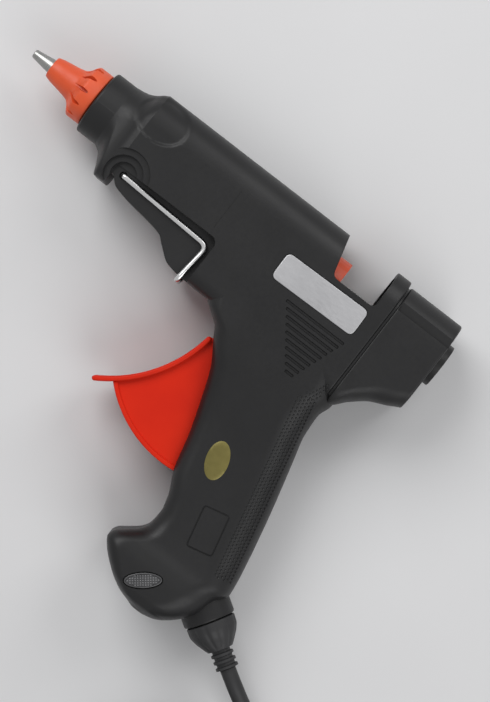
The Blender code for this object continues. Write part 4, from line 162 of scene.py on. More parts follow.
def outward(mesh):
    """The same mesh with its doubled points merged, its slivers closed, its faces turned
    outwards, and no normals but the ones its faces give."""
    near = 0.000001
    bm = bmesh.new()
    bm.from_mesh(mesh)
    bmesh.ops.remove_doubles(bm, verts=bm.verts, dist=near)
    bmesh.ops.dissolve_degenerate(bm, edges=bm.edges, dist=near)
    bmesh.ops.delete(bm, geom=[edge for edge in bm.edges if edge.is_wire], context="EDGES")
    bmesh.ops.recalc_face_normals(bm, faces=bm.faces)
    bm.to_mesh(mesh)
    bm.free()
    for kept in [layer for layer in mesh.attributes if layer.name == "custom_normal"]:
        mesh.attributes.remove(kept)
    return mesh


def put(mesh, material, body="housing", crease=35):
    """Show a mesh as a piece of a body, under the mesh's name, smooth but for its edges
    sharper than the crease."""
    mesh.materials.clear()
    mesh.materials.append(material)
    mesh.polygons.foreach_set("material_index", np.zeros(len(mesh.polygons), int))
    mesh.polygons.foreach_set("use_smooth", np.ones(len(mesh.polygons), bool))
    mesh.set_sharp_from_angle(angle=np.radians(crease))
    piece = linked(mesh.name, mesh)
    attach(piece, body)
    return piece


def node(tree, kind, inputs):
    """A new shader node. Each input takes its value, or a link from the output it is given."""
    made = tree.nodes.new("ShaderNode" + kind)
    for socket, given in inputs.items():
        if isinstance(given, bpy.types.NodeSocket):
            tree.links.new(given, made.inputs[socket])
        else:
            made.inputs[socket].default_value = given
    return made


def noise(tree, scale, detail=3.0, stretch=(1, 1, 1)):
    """Noise on object coordinates, so many blobs a metre, stretched along the three axes."""
    place = node(tree, "TexCoord", {})
    mapping = node(tree, "Mapping", {"Vector": place.outputs["Object"], "Scale": stretch})
    return node(tree, "TexNoise", {"Vector": mapping.outputs["Vector"], "Scale": scale,
                                   "Detail": detail}).outputs["Fac"]


def vary(tree, source, socket, low, high):
    """Spread a pattern's middle range over a socket, between two values or two colours."""
    least, most = 0.3, 0.7
    if isinstance(low, tuple):
        ramp = node(tree, "ValToRGB", {"Fac": source})
        for stop, place, colour in zip(ramp.color_ramp.elements, (least, most), (low, high)):
            stop.position = place
            stop.color = (*colour, 1)
        tree.links.new(ramp.outputs["Color"], socket)
    else:
        span = node(tree, "MapRange", {"Value": source, "From Min": least, "From Max": most,
                                       "To Min": low, "To Max": high})
        tree.links.new(span.outputs["Result"], socket)


def finish(name, colour, roughness, metallic=0.0, shine=None, shades=None, grain=None, dials=None):
    """A Principled material. Shine spreads a noise over its roughness and shades one over its
    colour, as (noise, low, high). Grain raises its surface, as (noise, metres, strength). A
    noise is given as its scale, detail and stretch. Dials are more uniform sockets."""
    material = bpy.data.materials.new(name)
    material.use_nodes = True
    tree = material.node_tree
    shader = tree.nodes["Principled BSDF"]
    for socket, value in {"Base Color": (*colour, 1), "Roughness": roughness,
                          "Metallic": metallic, **(dials or {})}.items():
        shader.inputs[socket].default_value = value
    if shine:
        vary(tree, noise(tree, *shine[0]), shader.inputs["Roughness"], *shine[1:])
    if shades:
        vary(tree, noise(tree, *shades[0]), shader.inputs["Base Color"], *shades[1:])
    if grain:
        bump = node(tree, "Bump", {"Height": noise(tree, *grain[0]), "Distance": grain[1],
                                   "Strength": grain[2]})
        tree.links.new(bump.outputs["Normal"], shader.inputs["Normal"])
    return material


flex_black = finish(
    "flex_black", (0.022, 0.022, 0.023), 0.5, shine=((180,), 0.42, 0.58),
    shades=((60,), (0.018, 0.018, 0.019), (0.028, 0.028, 0.029)),
    grain=((1400, 2), 0.00006, 0.5), dials={"Specular IOR Level": 0.35})

cord_radius, gap = 0.0030, 0.0003
cord_width = 2 * cord_radius
aim = np.append(heading(np.radians(-32)), 0)
heel = gun(0.0146, -0.1232)
boot_tip = heel + aim * 0.0240
coil_turns, inward_turns, coil_pitch = 130 / 24, 3, 0.0066
turns = np.linspace(0, coil_turns, 261)
away = turns - inward_turns
coil_radius = 0.0222 + coil_pitch * np.hypot(away, 0.06)
coil_height = 0.0050 + coil_pitch * smooth(away / 0.5 + 0.5)
coil_centre = gun(-0.0273, -0.1988, -INLET[2])
bearing = np.radians(60) - 2 * np.pi * turns
coil = coil_centre + np.column_stack((coil_radius[:, None] * heading(bearing), coil_height))
way_in = unit((coil[1] - coil[0]) * (1, 1, 0))
way_out = unit((coil[-1] - coil[-2]) * (1, 1, 0))
coil_in = coil[0] - way_in * cord_width
coil_out = coil[-1] + way_out * cord_width
leftward = np.array([-1.0, 0, 0])
tail_length, plug_thickness = 0.0420, 0.0137
plug_start = np.array([coil_out[0] - tail_length - gap, coil_out[1], plug_thickness / 2])
reach = np.linalg.norm(coil[0] - boot_tip) / 3
cord_route = np.concatenate((
    cubic(boot_tip + aim * gap, aim * reach, coil_in, way_in * reach, 40)[:-1], [coil_in],
    coil, cubic(coil_out, way_out * tail_length / 2, plug_start, leftward * tail_length / 3, 24)))
cord = put(surface("mains_cord", tube_grid(cord_route, cord_radius, 20)), flex_black)
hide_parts("cord_lead", "cord_coil", "cord_tail")

# The strap that holds the coil: a band of 6 by 1.2 mm soft plastic, closed round both layers.
strap_line = rounded(box(0.0196, 0.0013, 0.0446, 0.0153), 0.0028, closed=True, steps=6)
strap_centre = coil_centre + np.insert(strap_line, 1, 0, axis=1)
strap_way = np.roll(strap_line, -1, axis=0) - np.roll(strap_line, 1, axis=0)
strap_out = unit(np.insert(strap_way[:, ::-1] * (1, -1), 1, 0, axis=1))
strap_section = rounded(box(0, -0.0030, 0.0012, 0.0030), 0.0004, closed=True, steps=4)
strap_grid = (strap_centre[:, None] + strap_out[:, None] * strap_section[None, :, :1]
              + np.array([0, 1.0, 0]) * strap_section[None, :, 1:])
strap_grid = np.concatenate((strap_grid, strap_grid[:1]))
tie = put(surface("cord_strap", strap_grid, capped=False), flex_black)
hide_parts("cord_tie")

# Plug. A moulded two-pin Euro shape: flat body, waisted neck with grip ribs, and two round
# pins whose roots are sleeved in black, so that only their last 9 mm are bare nickel.
plug_length = 0.0340
along = np.linspace(0, 1, 60)
blur = np.array([1, 2, 3, 2, 1]) / 9
plug_width, plug_height = (
    np.convolve(np.pad(np.interp(along, (0, 0.10, 0.22, 0.60, 0.94, 1.0), sizes), 2,
                       mode="edge"), blur, mode="valid")
    for sizes in ((0.0052, 0.0058, 0.0062, 0.0174, 0.0176, 0.0166),
                  (0.0048, 0.0052, 0.0056, 0.0067, 0.00685, 0.0060)))
rib_depth, rib_count, rib_clip = 0.0004, 17, 0.3
ribs = rib_depth * np.clip(np.sin(along * 2 * np.pi * rib_count), -rib_clip, rib_clip) / rib_clip
ribs = ribs * (along < 0.26)
square = 2 / (2.4 + 2.2 * np.clip((along - 0.2) / 0.4, 0, 1))[:, None]
across, up = (np.sign(part) * np.abs(part) ** square for part in heading(circle(72)).T)
plug_grid = plug_start + np.stack((
    np.broadcast_to(-plug_length * along[:, None], across.shape),
    (plug_width - ribs)[:, None] * across, (plug_height - ribs)[:, None] * up), axis=-1)
plug = put(surface("mains_plug", plug_grid), flex_black)
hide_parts("plug_body")


def mixed(tree, share, low, high):
    """A colour that goes from the low one to the high one as the share goes from 0 to 1."""
    mix = tree.nodes.new("ShaderNodeMix")
    mix.data_type = "RGBA"
    mix.inputs[6].default_value = (*low, 1)
    mix.inputs[7].default_value = (*high, 1)
    tree.links.new(share, mix.inputs["Factor"])
    return mix.outputs[2]


nickel = (0.62, 0.61, 0.58)
pin_nickel = finish("pin_nickel", nickel, 0.25, 1.0, shine=((500,), 0.2, 0.34))
tree = pin_nickel.node_tree
shader = tree.nodes["Principled BSDF"]
sleeve_end = plug_start[0] - plug_length - 0.0100
split = node(tree, "SeparateXYZ", {"Vector": node(tree, "TexCoord", {}).outputs["Object"]})
bare = node(tree, "MapRange", {
    "Value": split.outputs["X"], "From Min": float(sleeve_end - 0.0001),
    "From Max": float(sleeve_end), "To Min": 1, "To Max": 0}).outputs["Result"]
tree.links.new(bare, shader.inputs["Metallic"])
tree.links.new(mixed(tree, bare, (0.02, 0.02, 0.02), nickel), shader.inputs["Base Color"])
pin_line = rounded([(0, 0), (0.0018, 0), (0.0018, 0.0100), (0.0020, 0.0101), (0.0020, 0.0190),
                    (0, 0.0190)], 0.0012, steps=6)
pin_line[[0, -1], 0] = 0
for name, side in (("plug_pin_1", -0.0093), ("plug_pin_2", 0.0093)):
    root = plug_start + (-plug_length - gap, side, 0)
    pin = put(turned(name + "_turned", pin_line, root, leftward, 32), pin_nickel)
    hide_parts(name)


# Housing. Two moulded halves of glass-filled nylon, mirror images that meet down the middle
# and are screwed together from the right. The side faces are flat and satin, every outer edge
# is rounded, and a stepped groove parts the rear panel, which guards the stick's way in.
def eased(table, places):
    """A smooth curve through rows of (place, value): cubics between the rows, with the
    harmonic mean of both neighbours' slopes at a row, and level where the slope turns."""
    table = np.asarray(table, float)
    run = np.diff(table[:, 0])
    slope = np.diff(table[:, 1]) / run
    pair = slope[:-1] * slope[1:]
    joint = np.where(pair > 0, slope[:-1] + slope[1:], 1)
    tangent = np.concatenate((slope[:1], np.where(pair > 0, 2 * pair / joint, 0), slope[-1:]))
    places = np.asarray(places, float)
    i = np.clip(np.searchsorted(table[:, 0], places) - 1, 0, len(run) - 1)
    t = (places - table[i, 0]) / run[i]
    return ((1 + 2 * t) * (1 - t) ** 2 * table[i, 1] + t * (1 - t) ** 2 * run[i] * tangent[i]
            + t * t * (3 - 2 * t) * table[i + 1, 1] - t * t * (1 - t) * run[i] * tangent[i + 1])


def rounded_ring(low, high, half_width, low_fillet, high_fillet, steps=16):
    """Closed sections of a long rounded form, as (across, side): on each side a quarter circle
    of the low fillet, the flat side, and a quarter circle of the high fillet. The flat's last
    9 mm keep steps of their own, so that a low edge that comes and goes can't shift them."""
    low, high, half_width, low_fillet, high_fillet = (
        np.asarray(v, float)[:, None] for v in
        np.broadcast_arrays(low, high, half_width, low_fillet, high_fillet))
    room = 0.98 * np.minimum(half_width, (high - low) / 2)
    low_fillet = np.minimum(low_fillet, room)
    high_fillet = np.minimum(high_fillet, room)
    a = np.linspace(0, np.pi / 2, steps + 1)
    flat = high - high_fillet - low - low_fillet
    near = np.minimum(0.0090, 0.6 * flat)
    s = np.linspace(0, 1, 21)[:-1]
    flat = np.concatenate((low + low_fillet + (flat - near) * s[1:],
                           high - high_fillet - near * (1 - s)), axis=1)
    across = np.concatenate((low + low_fillet * (1 - np.cos(a)), flat,
                             high - high_fillet * (1 - np.cos(a[::-1]))), axis=1)
    side = np.concatenate((half_width - low_fillet * (1 - np.sin(a)),
                           np.broadcast_to(half_width, flat.shape),
                           half_width - high_fillet * (1 - np.sin(a[::-1]))), axis=1)
    return (np.concatenate((across, across[:, ::-1]), axis=1),
            np.concatenate((side, -side[:, ::-1]), axis=1))


def carved(name, mesh, *steps):
    """A mesh after a chain of solid steps, each a (cut, join or keep, tool mesh) pair."""
    modes = {"cut": "DIFFERENCE", "join": "UNION", "keep": "INTERSECT"}
    body = linked(name, mesh)
    tools = []
    for mode, tool_mesh in steps:
        tools.append(linked(name + "_tool", tool_mesh))
        step = body.modifiers.new(mode, "BOOLEAN")
        step.operation = modes[mode]
        step.solver = "MANIFOLD"
        step.object = tools[-1]
    bpy.context.view_layer.update()
    result = bpy.data.meshes.new_from_object(
        body.evaluated_get(bpy.context.evaluated_depsgraph_get()))
    result.name = name
    for spent in [body, *tools]:
        bpy.data.objects.remove(spent)
    return result


def grown(outline, amount):
    """An outline moved out evenly: each corner goes along the sum of its two sides' normals,
    over one plus the cosine of the turn between them."""
    outline = np.asarray(outline, float)
    way = unit(np.roll(outline, -1, axis=0) - outline)
    before = np.roll(way, 1, axis=0)
    out = np.stack((way[:, 1] + before[:, 1], -way[:, 0] - before[:, 0]), axis=-1)
    out /= 1 + (way * before).sum(axis=1, keepdims=True)
    x, y = outline.T
    turn = np.sign((x * np.roll(y, -1) - np.roll(x, -1) * y).sum())
    return outline + turn * amount * out


def prism(name, outline, stations, hand=1):
    """A plug whose section is an outline in the side plane. Each station (how far out, how
    much grown) is one ring of it, on the left side for a hand of 1 or on the right for -1."""
    rings = []
    for out, growth in stations:
        ring = grown(outline, growth)
        rings.append(gun(-ring[:, 0], ring[:, 1], hand * out))
    return surface(name, np.array(rings))


def rod(name, start, end, radius, steps=48):
    """A round pin between two points, swept from its radius with both ends closed."""
    length = np.linalg.norm(end - start)
    return turned(name, [(0, 0), (radius, 0), (radius, length), (0, length)], start,
                  end - start, steps)


def oval(centre, length, width, angle):
    """An ellipse: half the length times cos(a) along the angle, half the width times sin(a)
    across it."""
    a = circle(64)[:, None]
    return (centre + length / 2 * np.cos(a) * heading(angle)
            + width / 2 * np.sin(a) * heading(angle + np.pi / 2))


def tilted(outline, turn, centre):
    """An outline turned by an angle about zero, then moved to its centre."""
    return outline @ np.stack((heading(turn), heading(turn + np.pi / 2))) + centre


def together(name, meshes):
    """Several separate meshes as one."""
    bm = bmesh.new()
    for mesh in meshes:
        bm.from_mesh(mesh)
    joined = bpy.data.meshes.new(name)
    bm.to_mesh(joined)
    bm.free()
    return joined


HALF_WIDTH, ROOF, REAR_ROOF = 0.0180, 0.0177, 0.0162
ROOF_FILLET, BELLY_FILLET, REAR_FILLET = 0.0120, 0.0050, 0.0080
NOSE_AHEAD, NOSE_RADIUS, NOSE_BEVEL = 0.1600, 0.0130, 0.0010
REAR_AHEAD, REAR_DEPTH, REAR_BEVEL = 0.0028, 0.0368, 0.0009
GRIP_TOP, GRIP_FALL, GRIP_HALF_WIDTH, BUTT_SWELL = 0.0140, 0.1246, 0.0144, 0.0036
GRIP_SETBACK, GRIP_SPREAD, GRIP_FRONT_FILLET, GRIP_BACK_FILLET = 0.0086, 0.0620, 0.0066, 0.0110


def grip_edge(table, level):
    """How far ahead the grip's front or back edge lies at a share of the grip's fall."""
    return GRIP_SETBACK + GRIP_SPREAD * eased(table, level)


def grip_width(level):
    """Half the grip's width at a share of the grip's fall."""
    return GRIP_HALF_WIDTH + BUTT_SWELL * eased(GRIP_WIDTH, level)


def housing_form(name, inset):
    """The outside of both halves, drawn in by an inset: the barrel's rings from nose to rear
    face, the grip's rings from its root to the butt, and the round socket of the cord. Inside
    an ellipse on each side the barrel sinks along its normal, which makes the oval dish. A
    ring is (ahead, roof, depth, half width, roof fillet, belly fillet)."""
    flare = ((0, 0, 0, 0), (0.22, 0.07, 0.16, 0.10), (0.45, 0.20, 0.60, 0.28),
             (0.64, 0.42, 1, 0.52), (0.84, 0.78, 1, 0.84), (1, 1, 1, 1))
    belly = ((0, 0), (0.07, 0.23), (0.43, 0.47), (0.485, 0.64), (0.59, 0.92), (0.69, 0.97), (1, 1))
    underside = ((0, 1), (0.04, 0.99), (0.29, 0.63), (0.54, 0.33), (0.80, 0.15), (0.96, 0.02),
                 (1, 0))
    sides, rear = (HALF_WIDTH, ROOF_FILLET, BELLY_FILLET), (HALF_WIDTH, ROOF_FILLET, REAR_FILLET)
    rows = [(NOSE_AHEAD - NOSE_BEVEL * (1 - np.sin(t)),
             *(NOSE_RADIUS - NOSE_BEVEL * (1 - np.cos(t)),) * 5)
            for t in np.linspace(np.pi / 2, 0, 7)]
    s = np.linspace(0, 0.985, 26)
    roof, depth, width = (eased([(row[0], row[k]) for row in flare], s) for k in (1, 2, 3))
    rows += np.stack((
        0.1512 - 0.0119 * s, NOSE_RADIUS + (ROOF - NOSE_RADIUS) * roof,
        NOSE_RADIUS + 0.0093 * depth, NOSE_RADIUS + (HALF_WIDTH - NOSE_RADIUS) * width,
        NOSE_RADIUS + (ROOF_FILLET - NOSE_RADIUS) * width,
        NOSE_RADIUS + (BELLY_FILLET - NOSE_RADIUS) * depth), axis=-1).tolist()
    s = np.linspace(0, 1, 110)
    rows += [(ahead, ROOF, low, *sides) for ahead, low in (
        (0.1393, 0.0221), (0.1391, 0.0216), (0.1388, 0.0180),
        *zip(0.1384 - 0.0618 * s, 0.0175 + 0.0155 * eased(belly, s)), (0.0562, 0.0226))]
    rows.append((0.0281, ROOF, 0.0365, *rear))
    for ahead, top, step in (
            (0.0277, ROOF, 0.00006), (0.0275, ROOF, 0.00016), (0.02738, ROOF, 0.0003),
            (0.02710, REAR_ROOF, 0.0008), (0.02640, REAR_ROOF, 0.0008),
            (0.02618, REAR_ROOF, 0.0003), (0.02606, REAR_ROOF, 0.00012),
            (0.02585, REAR_ROOF, 0.00003)):
        rows.append((ahead, top - step, REAR_DEPTH - step, HALF_WIDTH - step, *rear[1:]))
    s = np.linspace(0.012, 0.955, 34)
    rows += [(ahead, REAR_ROOF, low, *rear) for ahead, low in
             zip(0.0259 - 0.0231 * s, 0.0212 + 0.0156 * eased(underside, s))]
    for t in np.linspace(0, np.pi / 2, 7):
        step = REAR_BEVEL * (1 - np.cos(t))
        rows.append((REAR_AHEAD + REAR_BEVEL * (1 - np.sin(t)), REAR_ROOF - step, 0.0214 - step,
                     HALF_WIDTH - step, *rear[1:]))
    rows = np.array(rows)
    if inset:
        first, last = NOSE_AHEAD - inset, REAR_AHEAD + inset
        rows = rows[(rows[:, 0] < first) & (rows[:, 0] > last)]
        rows[0, 0], rows[-1, 0] = first, last
    ahead, roof, depth, width, roof_fillet, belly_fillet = rows.T
    height, side = rounded_ring(inset - depth, roof - inset, width - inset,
                                belly_fillet - inset, roof_fillet - inset)
    ahead = np.broadcast_to(ahead[:, None], height.shape)
    rise = np.roll(height, -1, axis=1) - np.roll(height, 1, axis=1)
    turn = np.roll(side, -1, axis=1) - np.roll(side, 1, axis=1)
    share = np.hypot((ahead - 0.1352) / 0.01025, (height - 0.0085) / 0.00825)
    sink = 0.0006 * smooth((1 - share) * 9 + 0.5) / np.hypot(rise, turn)
    barrel = surface(name + "_barrel", gun(ahead, height + sink * turn, side - sink * rise))

    level = np.concatenate((np.linspace(0, 0.93, 90), np.linspace(0.933, 1, 24)))
    level = level[level < 1 - inset / GRIP_FALL + 0.000001]
    along, side = rounded_ring(
        inset - grip_edge(GRIP_FRONT, level), -grip_edge(GRIP_BACK, level) - inset,
        grip_width(level) - inset, GRIP_FRONT_FILLET - inset, GRIP_BACK_FILLET - inset)
    grip = surface(name + "_grip", gun(-along, -GRIP_TOP - GRIP_FALL * level[:, None], side))
    out, long = 0.0098 - inset, 0.0052 - inset
    socket = turned(name + "_socket", [(0, -long), (out, -long), (out, long - 0.0008),
                                       (out - 0.00025, long - 0.0002), (out - 0.0008, long),
                                       (0, long)], heel, aim)
    return carved(name, barrel, ("join", grip), ("join", socket))


GRIP_FRONT = ((0, 1.290), (0.150, 1.200), (0.198, 1.077), (0.226, 1.040), (0.305, 0.940),
              (0.392, 0.873), (0.497, 0.803), (0.604, 0.748), (0.680, 0.677), (0.736, 0.652),
              (0.776, 0.658), (0.800, 0.681), (0.833, 0.756), (0.854, 0.806), (0.874, 0.819),
              (0.898, 0.790), (0.945, 0.687), (0.984, 0.558), (1, 0.458))
GRIP_BACK = ((0, 0.300), (0.177, 0.235), (0.226, 0.263), (0.290, 0.255), (0.370, 0.215),
             (0.449, 0.173), (0.530, 0.132), (0.610, 0.095), (0.689, 0.061), (0.770, 0.032),
             (0.803, 0.026), (0.843, 0.079), (0.907, 0.119), (0.960, 0.203), (0.993, 0.298),
             (1, 0.361))
GRIP_WIDTH = ((0, 1), (0.160, 1), (0.230, 0.88), (0.330, 0.42), (0.450, 0.08), (0.560, 0),
              (0.740, 0.02), (0.800, 0.25), (0.850, 0.75), (0.890, 1), (0.945, 1), (0.975, 0.60),
              (1, -1))
STAND_PIVOT = (0.1348, -0.0160)
LENS_CENTRE, LENS_TURN = (-0.0390, -0.1280), np.radians(38.9)
SCREWS = ((0.1425, -0.0172), (0.1160, 0.0124), (0.0852, -0.0270), (0.0302, -0.0226),
          (0.0300, -0.1040), (0.0500, -0.1220))
skin = carved("housing_skin", housing_form("housing_outside", 0.0),
              ("cut", housing_form("housing_inside", 0.0008)))
within = housing_form("housing_within", 0.0004)

window = rounded([(-0.0333, 0.0300), (-0.0562, 0.0300), (-0.0562, 0.0177), (-0.0520, 0.0015),
                  (-0.0333, 0.0015)], 0.0022, closed=True)
band = rounded([(-0.1390, -0.0138), (-0.1390, -0.0600), (-0.0928, -0.0600), (-0.0928, -0.0155),
                (-0.0945, -0.0138)], 0.0030, closed=True, steps=8)
slot = rounded(box(-0.0870, -0.0918, -0.0440, -0.0400), 0.0010, closed=True)
ledge = rounded(box(-0.0259, 0.0063, 0.0010, 0.0300), 0.0003, closed=True)
switch = tilted(rounded(box(-0.0083, -0.0053, 0.0083, 0.0053), 0.0016, closed=True),
                np.radians(90 + 13), (-0.0312, -0.0995))
label_line = tilted(rounded(box(-0.0182, -0.0055, 0.0182, 0.0055), 0.0024, closed=True),
                    np.radians(1.0), (-0.0517, -0.0065))
groove_meshes = {1: [], -1: []}
groove_half, groove_step = 0.00045, 0.00228
for row, share in enumerate(np.linspace(0, 1, 10)):
    height = -0.01565 - row * groove_step
    front = 0.0600 - 0.0152 * share
    length = 0.0262 - 0.0226 * share
    face = float(grip_width((-height - GRIP_TOP) / GRIP_FALL))
    line = rounded(box(-front, height - groove_half, length - front, height + groove_half),
                   0.00042, closed=True, steps=6)
    for hand, grooves in groove_meshes.items():
        grooves.append(prism(f"groove_{row}", line, (
            (face - 0.0007, -0.0001), (face - 0.0005, 0), (face - 0.00015, 0), (face, 0.00012),
            (0.0200, 0.0009)), hand))

housing_black = finish(
    "housing_satin", (0.011, 0.011, 0.0114), 0.4, shine=((900, 4), 0.36, 0.46),
    shades=((45,), (0.0095, 0.0095, 0.0099), (0.0135, 0.0135, 0.0139)),
    grain=((3200, 3), 0.00003, 0.55), dials={"Specular IOR Level": 0.3})


def side_mouth(floor):
    """The stations of a cut from its floor out through a side, with a 0.3 mm bevelled mouth."""
    return (floor, 0), (0.01775, 0), (0.0181, 0.0003), (0.03, 0.0003)


def even(piece):
    """Weigh a piece's smooth shading by its faces, so that its flat sides stay flat."""
    piece.modifiers.new("evened", "WEIGHTED_NORMAL").keep_sharp = True


for hand, half_name in ((1, "housing_left"), (-1, "housing_right")):
    cad_half = outward(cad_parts[half_name].data.copy())
    other_side = prism(half_name + "_other", box(-0.20, -0.16, 0.02, 0.03),
                       ((-0.00015, 0), (0.05, 0)), -hand)
    steps = [("keep", within.copy()), ("join", skin.copy()), ("cut", other_side),
             ("cut", prism("window", window, side_mouth(-0.001), hand)),
             ("cut", prism("slot", slot, ((-0.001, 0), (0.0087, 0)), hand)),
             ("cut", prism("band", band, side_mouth(0.0123), hand))]
    for radius, floor in ((0.0050, 0.01297), (0.0075, 0.01487), (0.0100, 0.01677)):
        steps.append(("cut", turned("pivot_step", [(0, 0), (radius - 0.0003, 0), (radius, 0.0003),
                                                   (radius, 0.0100), (0, 0.0100)],
                                    gun(*STAND_PIVOT, hand * floor), (0, 0, hand), 96)))
    steps += [("cut", rod("stand_hole", gun(*STAND_PIVOT, hand * 0.008),
                          gun(*STAND_PIVOT, hand * 0.03), 0.0015)),
              ("cut", turned("nose_bore", [(0, 0), (0.0072, 0), (0.0072, 0.0147), (0.0077, 0.0152),
                                           (0.0077, 0.0200), (0, 0.0200)], gun(0.1453, 0),
                             (-1, 0, 0))),
              ("cut", rod("collar_bore", gun(0.0053, 0), gun(-0.001, 0), 0.0089, 64)),
              ("cut", rod("cord_outlet", heel - aim * 0.006, heel + aim * 0.006, 0.0069, 64)),
              ("cut", together("grooves", groove_meshes[hand])),
              ("cut", prism("side_line", box(-0.0971, -0.0110, -0.0969, 0.0056),
                            ((0.01788, 0), (0.0190, 0)), hand)),
              ("cut", prism("roof_ledge", ledge, ((0.0166, 0), (0.03, 0)), hand))]
    if hand > 0:
        ring = [gun(-line[:, 0], line[:, 1], out) for line, out in (
            (switch, 0.0139), (switch, 0.0144), (grown(switch, 0.00015), 0.0160),
            (grown(switch, -0.00075), 0.0160), (grown(switch, -0.0006), 0.0144),
            (grown(switch, -0.0006), 0.0139), (switch, 0.0139))]
        steps += [("cut", surface("switch_line", np.array(ring), capped=False)),
                  ("cut", prism("lens_window", oval(LENS_CENTRE, 0.0146, 0.0062, LENS_TURN),
                                side_mouth(0.0132))),
                  ("cut", prism("label_recess", grown(label_line, 0.0003), (
                      (0.01775, 0), (0.0179, 0), (0.0181, 0.0002), (0.0200, 0.0003))))]
    else:
        for screw in SCREWS:
            steps.append(("cut", turned("screw_sink", [
                (0, -0.0090), (0.0016, -0.0090), (0.0016, -0.0001), (0.0025, 0), (0.0025, 0.0200),
                (0, 0.0200)], gun(*screw, -0.0060), (0, 0, -1), 40)))
    half = carved(half_name + "_moulding", cad_half, *steps)
    piece = put(outward(half), housing_black, crease=32)
    even(piece)
    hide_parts(half_name)


# Grip texture. Small round studs are moulded into the grip's back edge on both sides, in a
# band of six rows that follows the lean of the grip and narrows as it bends under the barrel.
def studs(name, places, normals, radius, rise, around=8):
    """Many small domes. Each has a foot just under the skin, a ring at 0.8 of its radius and
    0.7 of its rise, and a pole, round the normal at its place."""
    first = unit(np.cross(normals, (0.2, 1.0, 0.1)))
    second = np.cross(normals, first)
    a = circle(around)[None, :, None]
    spoke = np.cos(a) * first[:, None] + np.sin(a) * second[:, None]
    foot = places[:, None] - normals[:, None] * 0.0002 + radius * spoke
    ring = (places + normals * rise * 0.7)[:, None] + 0.8 * radius * spoke
    pole = (places + normals * rise)[:, None]
    points = np.concatenate((foot, ring, pole), axis=1)
    base = np.arange(len(places))[:, None] * (2 * around + 1)
    i = np.arange(around)
    j = np.roll(i, -1)
    quads = base[:, :, None] + np.stack((i, j, j + around, i + around), axis=-1)[None]
    tips = base[:, :, None] + np.stack((i + around, j + around, np.full(around, 2 * around)),
                                       axis=-1)[None]
    feet = base + i[::-1][None]
    mesh = bpy.data.meshes.new(name)
    mesh.from_pydata(points.reshape(-1, 3).tolist(), [],
                     quads.reshape(-1, 4).tolist() + tips.reshape(-1, 3).tolist() + feet.tolist())
    return outward(mesh)


def grip_side(across, height, hand):
    """A place on the housing's side and its normal. The grip's side is flat, then round over
    its back fillet, and the barrel's is flat, then round over its belly fillet, each by the
    circle's rule. The place is on whichever stands further out."""
    level = (-height - GRIP_TOP) / GRIP_FALL
    turn_start = -grip_edge(GRIP_BACK, level) - GRIP_BACK_FILLET
    lean = np.arcsin(np.clip((across - turn_start) / GRIP_BACK_FILLET, 0, 0.98))
    side = grip_width(level) - GRIP_BACK_FILLET * (1 - np.cos(lean))
    share = np.clip((0.0562 + across) / 0.0281, 0, 1)
    fillet = BELLY_FILLET + (REAR_FILLET - BELLY_FILLET) * share
    drop = (fillet - height - 0.0226 - 0.0139 * share) / fillet
    droop = np.arcsin(np.clip(drop, 0, 0.98))
    belly_side = np.where(drop < 1, HALF_WIDTH - fillet * (1 - np.cos(droop)), 0)
    normal = np.where(belly_side > side,
                      (np.zeros_like(lean), -np.sin(droop), hand * np.cos(droop)),
                      (np.sin(lean), np.zeros_like(lean), hand * np.cos(lean)))
    return gun(-across, height, hand * np.maximum(side, belly_side)), normal.T


stud_step, stud_gap, stud_radius, stud_rise = 0.00142, 0.00125, 0.00050, 0.00042
for hand, stud_name in ((1, "grip_studs_left"), (-1, "grip_studs_right")):
    row, step = np.meshgrid(np.arange(6), np.arange(-6, 52), indexing="ij")
    row, step = (v[np.abs(row - 2.5) < 2.6 + 0.35 * np.minimum(step, 0)][:, None]
                 for v in (row, step))
    line_way = np.where(step < 0, (-2.9, -6.5), (1.58, -6.94)) / 7.118
    spot = (np.array([-0.0322, -0.0390]) + stud_step * (step + 0.5 * (row % 2)) * line_way
            + stud_gap * (row - 2.5) * line_way[:, ::-1] * (-1, 1))
    places, normals = grip_side(spot[:, 0], spot[:, 1], hand)
    rise = np.minimum(stud_rise, 0.01796 - np.abs(places[:, 2] - INLET[2]))[:, None]
    piece = put(studs(stud_name, places, normals, stud_radius, rise), housing_black)


# Rating label and inspection sticker. A satin silver foil in a shallow moulded recess on the
# barrel's side, and a small gold foil oval on the grip. Both are left blank.
foil_silver = finish(
    "foil_silver", (0.43, 0.43, 0.44), 0.42, 0.75, shine=((300, 3, (1, 9, 1)), 0.36, 0.5),
    shades=((60,), (0.40, 0.40, 0.41), (0.46, 0.46, 0.47)),
    grain=((900, 2, (1, 6, 1)), 0.00002, 0.4))
label = put(prism("rating_label", label_line, (
    (0.01765, -0.0001), (0.01790, -0.0001), (0.01794, -0.00016), (0.01795, -0.0004))),
    foil_silver)

foil_gold = finish(
    "foil_gold", (0.175, 0.148, 0.042), 0.4, 0.55, shine=((400,), 0.34, 0.48),
    shades=((90,), (0.155, 0.132, 0.037), (0.20, 0.17, 0.049)),
    grain=((1100, 2), 0.00002, 0.5))
sticker_rings = []
for scale, proud in ((1.0, -0.0003), (1.0, 0.00005), (0.985, 0.00010), (0.7, 0.00010),
                     (0.35, 0.00010), (0.02, 0.00010)):
    ring = oval((-0.0442, -0.0772), 0.0148 * scale, 0.0087 * scale, np.radians(108))
    places, normals = grip_side(ring[:, 0], ring[:, 1], 1)
    sticker_rings.append(places + proud * normals)
sticker = put(surface("inspection_sticker", np.array(sticker_rings)), foil_gold)

